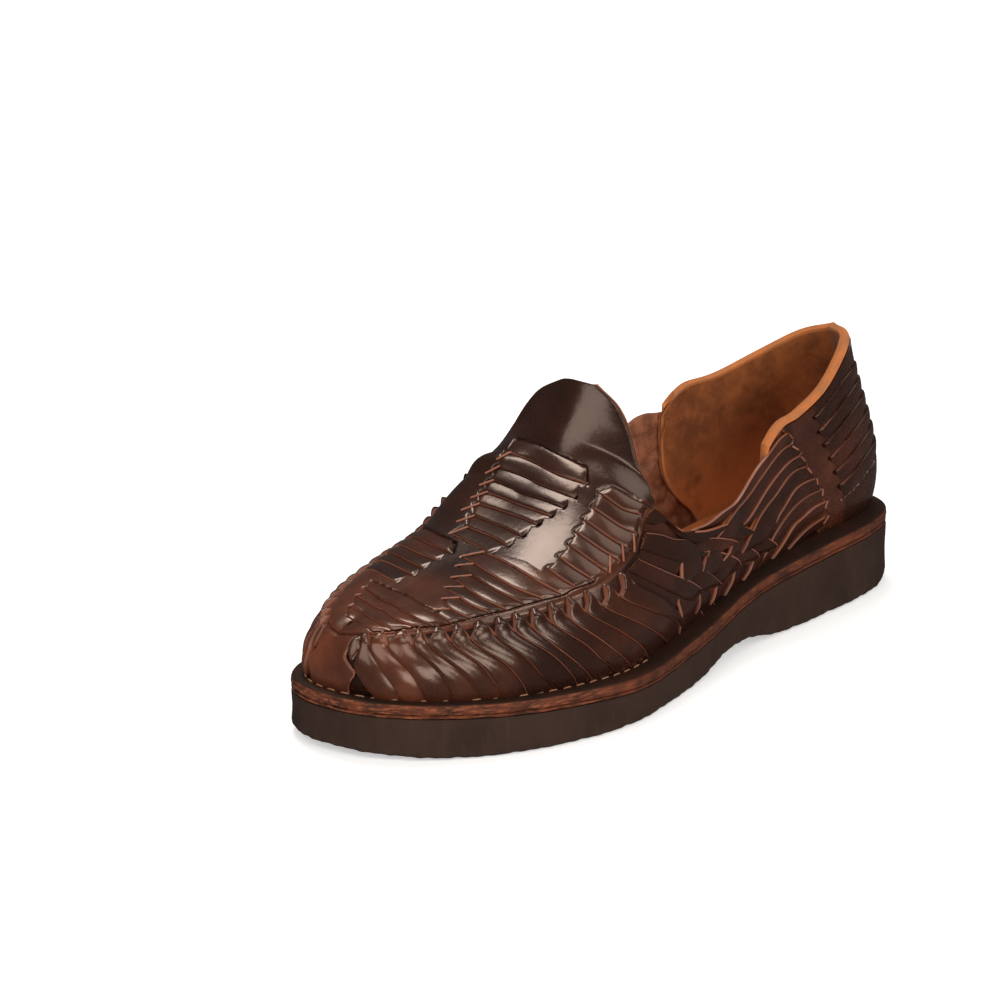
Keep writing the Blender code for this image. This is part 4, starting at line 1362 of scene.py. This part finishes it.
def build_stitches(finish):
    """Row of short threads lying on the welt between its edge and the upper."""
    turn = np.linspace(-STITCHED_TO, STITCHED_TO, 3000)
    plan = sole_inset(turn, around(MARGIN, turn) * WELT * STITCH_PLACE)
    run = travel_of(plan)
    at = np.arange(0.0, run[-1] - STITCH_PITCH, STITCH_PITCH)
    x, y = np.interp(at, run, plan[:, 0]), np.interp(at, run, plan[:, 1])
    dx = np.interp(at + STITCH_LONG, run, plan[:, 0]) - x
    dy = np.interp(at + STITCH_LONG, run, plan[:, 1]) - y
    along = unit(np.column_stack([dx, dy, 0 * dx]))
    aside = np.column_stack([-along[:, 1], along[:, 0], 0 * dx])
    step, ring = crossed(np.linspace(0.0, 1.0, 8), np.linspace(0.0, 2 * math.pi, 7)[:-1])
    girth = np.sqrt(np.clip(1.0 - (2.0 * step - 1.0) ** 4, 0.0, 1.0))
    pile = Pile()
    for number in range(len(at)):
        start = np.array([x[number], y[number], midsole_top(y[number]) + GAP - 0.0001])
        points = (start + along[number] * (step * STITCH_LONG)[..., None]
                  + aside[number] * (girth * np.cos(ring) * 0.5 * STITCH_WIDE)[..., None]
                  + UP * (girth * (0.5 + 0.5 * np.sin(ring)) * STITCH_WIDE * 0.7)[..., None])
        pile.grid(points, closed=True, flip=True)
    return pile.mesh("welt_stitches", finish)


FLOOR_SIZE = 12.0
SKY_STRENGTH = 0.08
LAMPS = [
    # name, place, size, watts
    ("overhead", (-0.58, 0.27, 1.66), 0.80, 15.0),
    ("tongue_front", (0.05, -1.51, 1.46), 1.40, 14.0),
    ("tongue_side", (1.00, -0.82, 1.50), 0.60, 4.0),
    ("low_front", (1.64, -0.95, 0.20), 0.90, 10.0),
    ("side_low", (1.79, -0.22, 0.60), 0.60, 5.0),
    ("side_high", (1.47, 0.29, 1.25), 0.60, 5.0),
    ("behind", (0.50, 1.35, 1.75), 1.20, 6.0),
]


def build_studio():
    """Pale floor, dim sky and soft lights."""
    mesh = bpy.data.meshes.new("floor")
    half = FLOOR_SIZE / 2
    corners = [(-half, -half, 0), (half, -half, 0), (half, half, 0), (-half, half, 0)]
    mesh.from_pydata(corners, [], [(0, 1, 2, 3)])
    mesh.materials.append(studio_floor())
    floor = bpy.data.objects.new("floor", mesh)
    bpy.context.scene.collection.objects.link(floor)
    floor.visible_glossy = False

    world = bpy.data.worlds.new("studio")
    world.use_nodes = True
    sky = world.node_tree.nodes["Background"]
    sky.inputs["Color"].default_value = SKY
    sky.inputs["Strength"].default_value = SKY_STRENGTH
    bpy.context.scene.world = world
    bpy.context.scene.view_settings.view_transform = "Standard"

    for name, place, size, watts in LAMPS:
        lamp = bpy.data.lights.new(name, "AREA")
        lamp.shape, lamp.size, lamp.energy = "SQUARE", size, watts
        lamp.color = LAMP_LIGHT
        light = bpy.data.objects.new(name, lamp)
        light.visible_camera = False
        light.matrix_world = look_from(np.array(place), unit(np.array(place)))
        bpy.context.scene.collection.objects.link(light)


def look_from(place, back, yaw=0.0, pitch=0.0):
    """Matrix of a camera or lamp at a place, its back along a direction, then turned a little."""
    right = unit(np.cross(UP, back))
    ahead = -back
    spin = np.array([[math.cos(yaw), -math.sin(yaw), 0], [math.sin(yaw), math.cos(yaw), 0], [0, 0, 1]])
    right, ahead = spin @ right, spin @ ahead
    top = np.cross(right, ahead)
    ahead, top = (math.cos(pitch) * ahead + math.sin(pitch) * top,
                  -math.sin(pitch) * ahead + math.cos(pitch) * top)
    turned = np.eye(4)
    turned[:3, 0], turned[:3, 1], turned[:3, 2], turned[:3, 3] = right, top, -ahead, place
    return Matrix(turned.tolist())


# camera: degrees from the toe's direction and above the floor, and how it is then turned
AZIMUTH = 42.498
ELEVATION = 20.972
YAW = 1.0539
PITCH = 1.3836
DISTANCE = 2.4495
SENSOR = 36.0           # millimetres
FOCAL_PIXELS = 6432.0
PICTURE_WIDTH = 1001.0


def build_camera():
    """Camera at the photograph's angle, found from the sole's visible edges."""
    azimuth, elevation = math.radians(AZIMUTH), math.radians(ELEVATION)
    level = math.cos(elevation)
    back = np.array([math.sin(azimuth) * level, -math.cos(azimuth) * level, math.sin(elevation)])
    place = back * DISTANCE - np.array([MIDDLE * BALL_WIDTH, 0.0, 0.0])
    lens = bpy.data.cameras.new("photograph")
    lens.sensor_width = SENSOR
    lens.lens = SENSOR * FOCAL_PIXELS / PICTURE_WIDTH
    camera = bpy.data.objects.new("photograph", lens)
    camera.matrix_world = look_from(place, back, math.radians(YAW), math.radians(PITCH))
    bpy.context.scene.collection.objects.link(camera)
    bpy.context.scene.camera = camera


build_camera()
build_studio()

leather = polished_leather()
napped = suede()
upper_pieces = [
    build_panel(leather), build_panel_straps(leather), build_slits(leather), build_toe_wall(leather),
    build_ribs(leather), build_side_weave(leather), build_quarter(leather), build_heel_straps(leather),
    build_vamp_lining(leather), build_lining(napped),
]
for piece in upper_pieces:
    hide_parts("upper")
outsole = build_outsole(moulded_rubber())
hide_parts("outsole")
midsole = build_midsole(stained_midsole())
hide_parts("midsole")
stitches = build_stitches(waxed_thread())
sock = build_insole(napped)
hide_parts("insole")
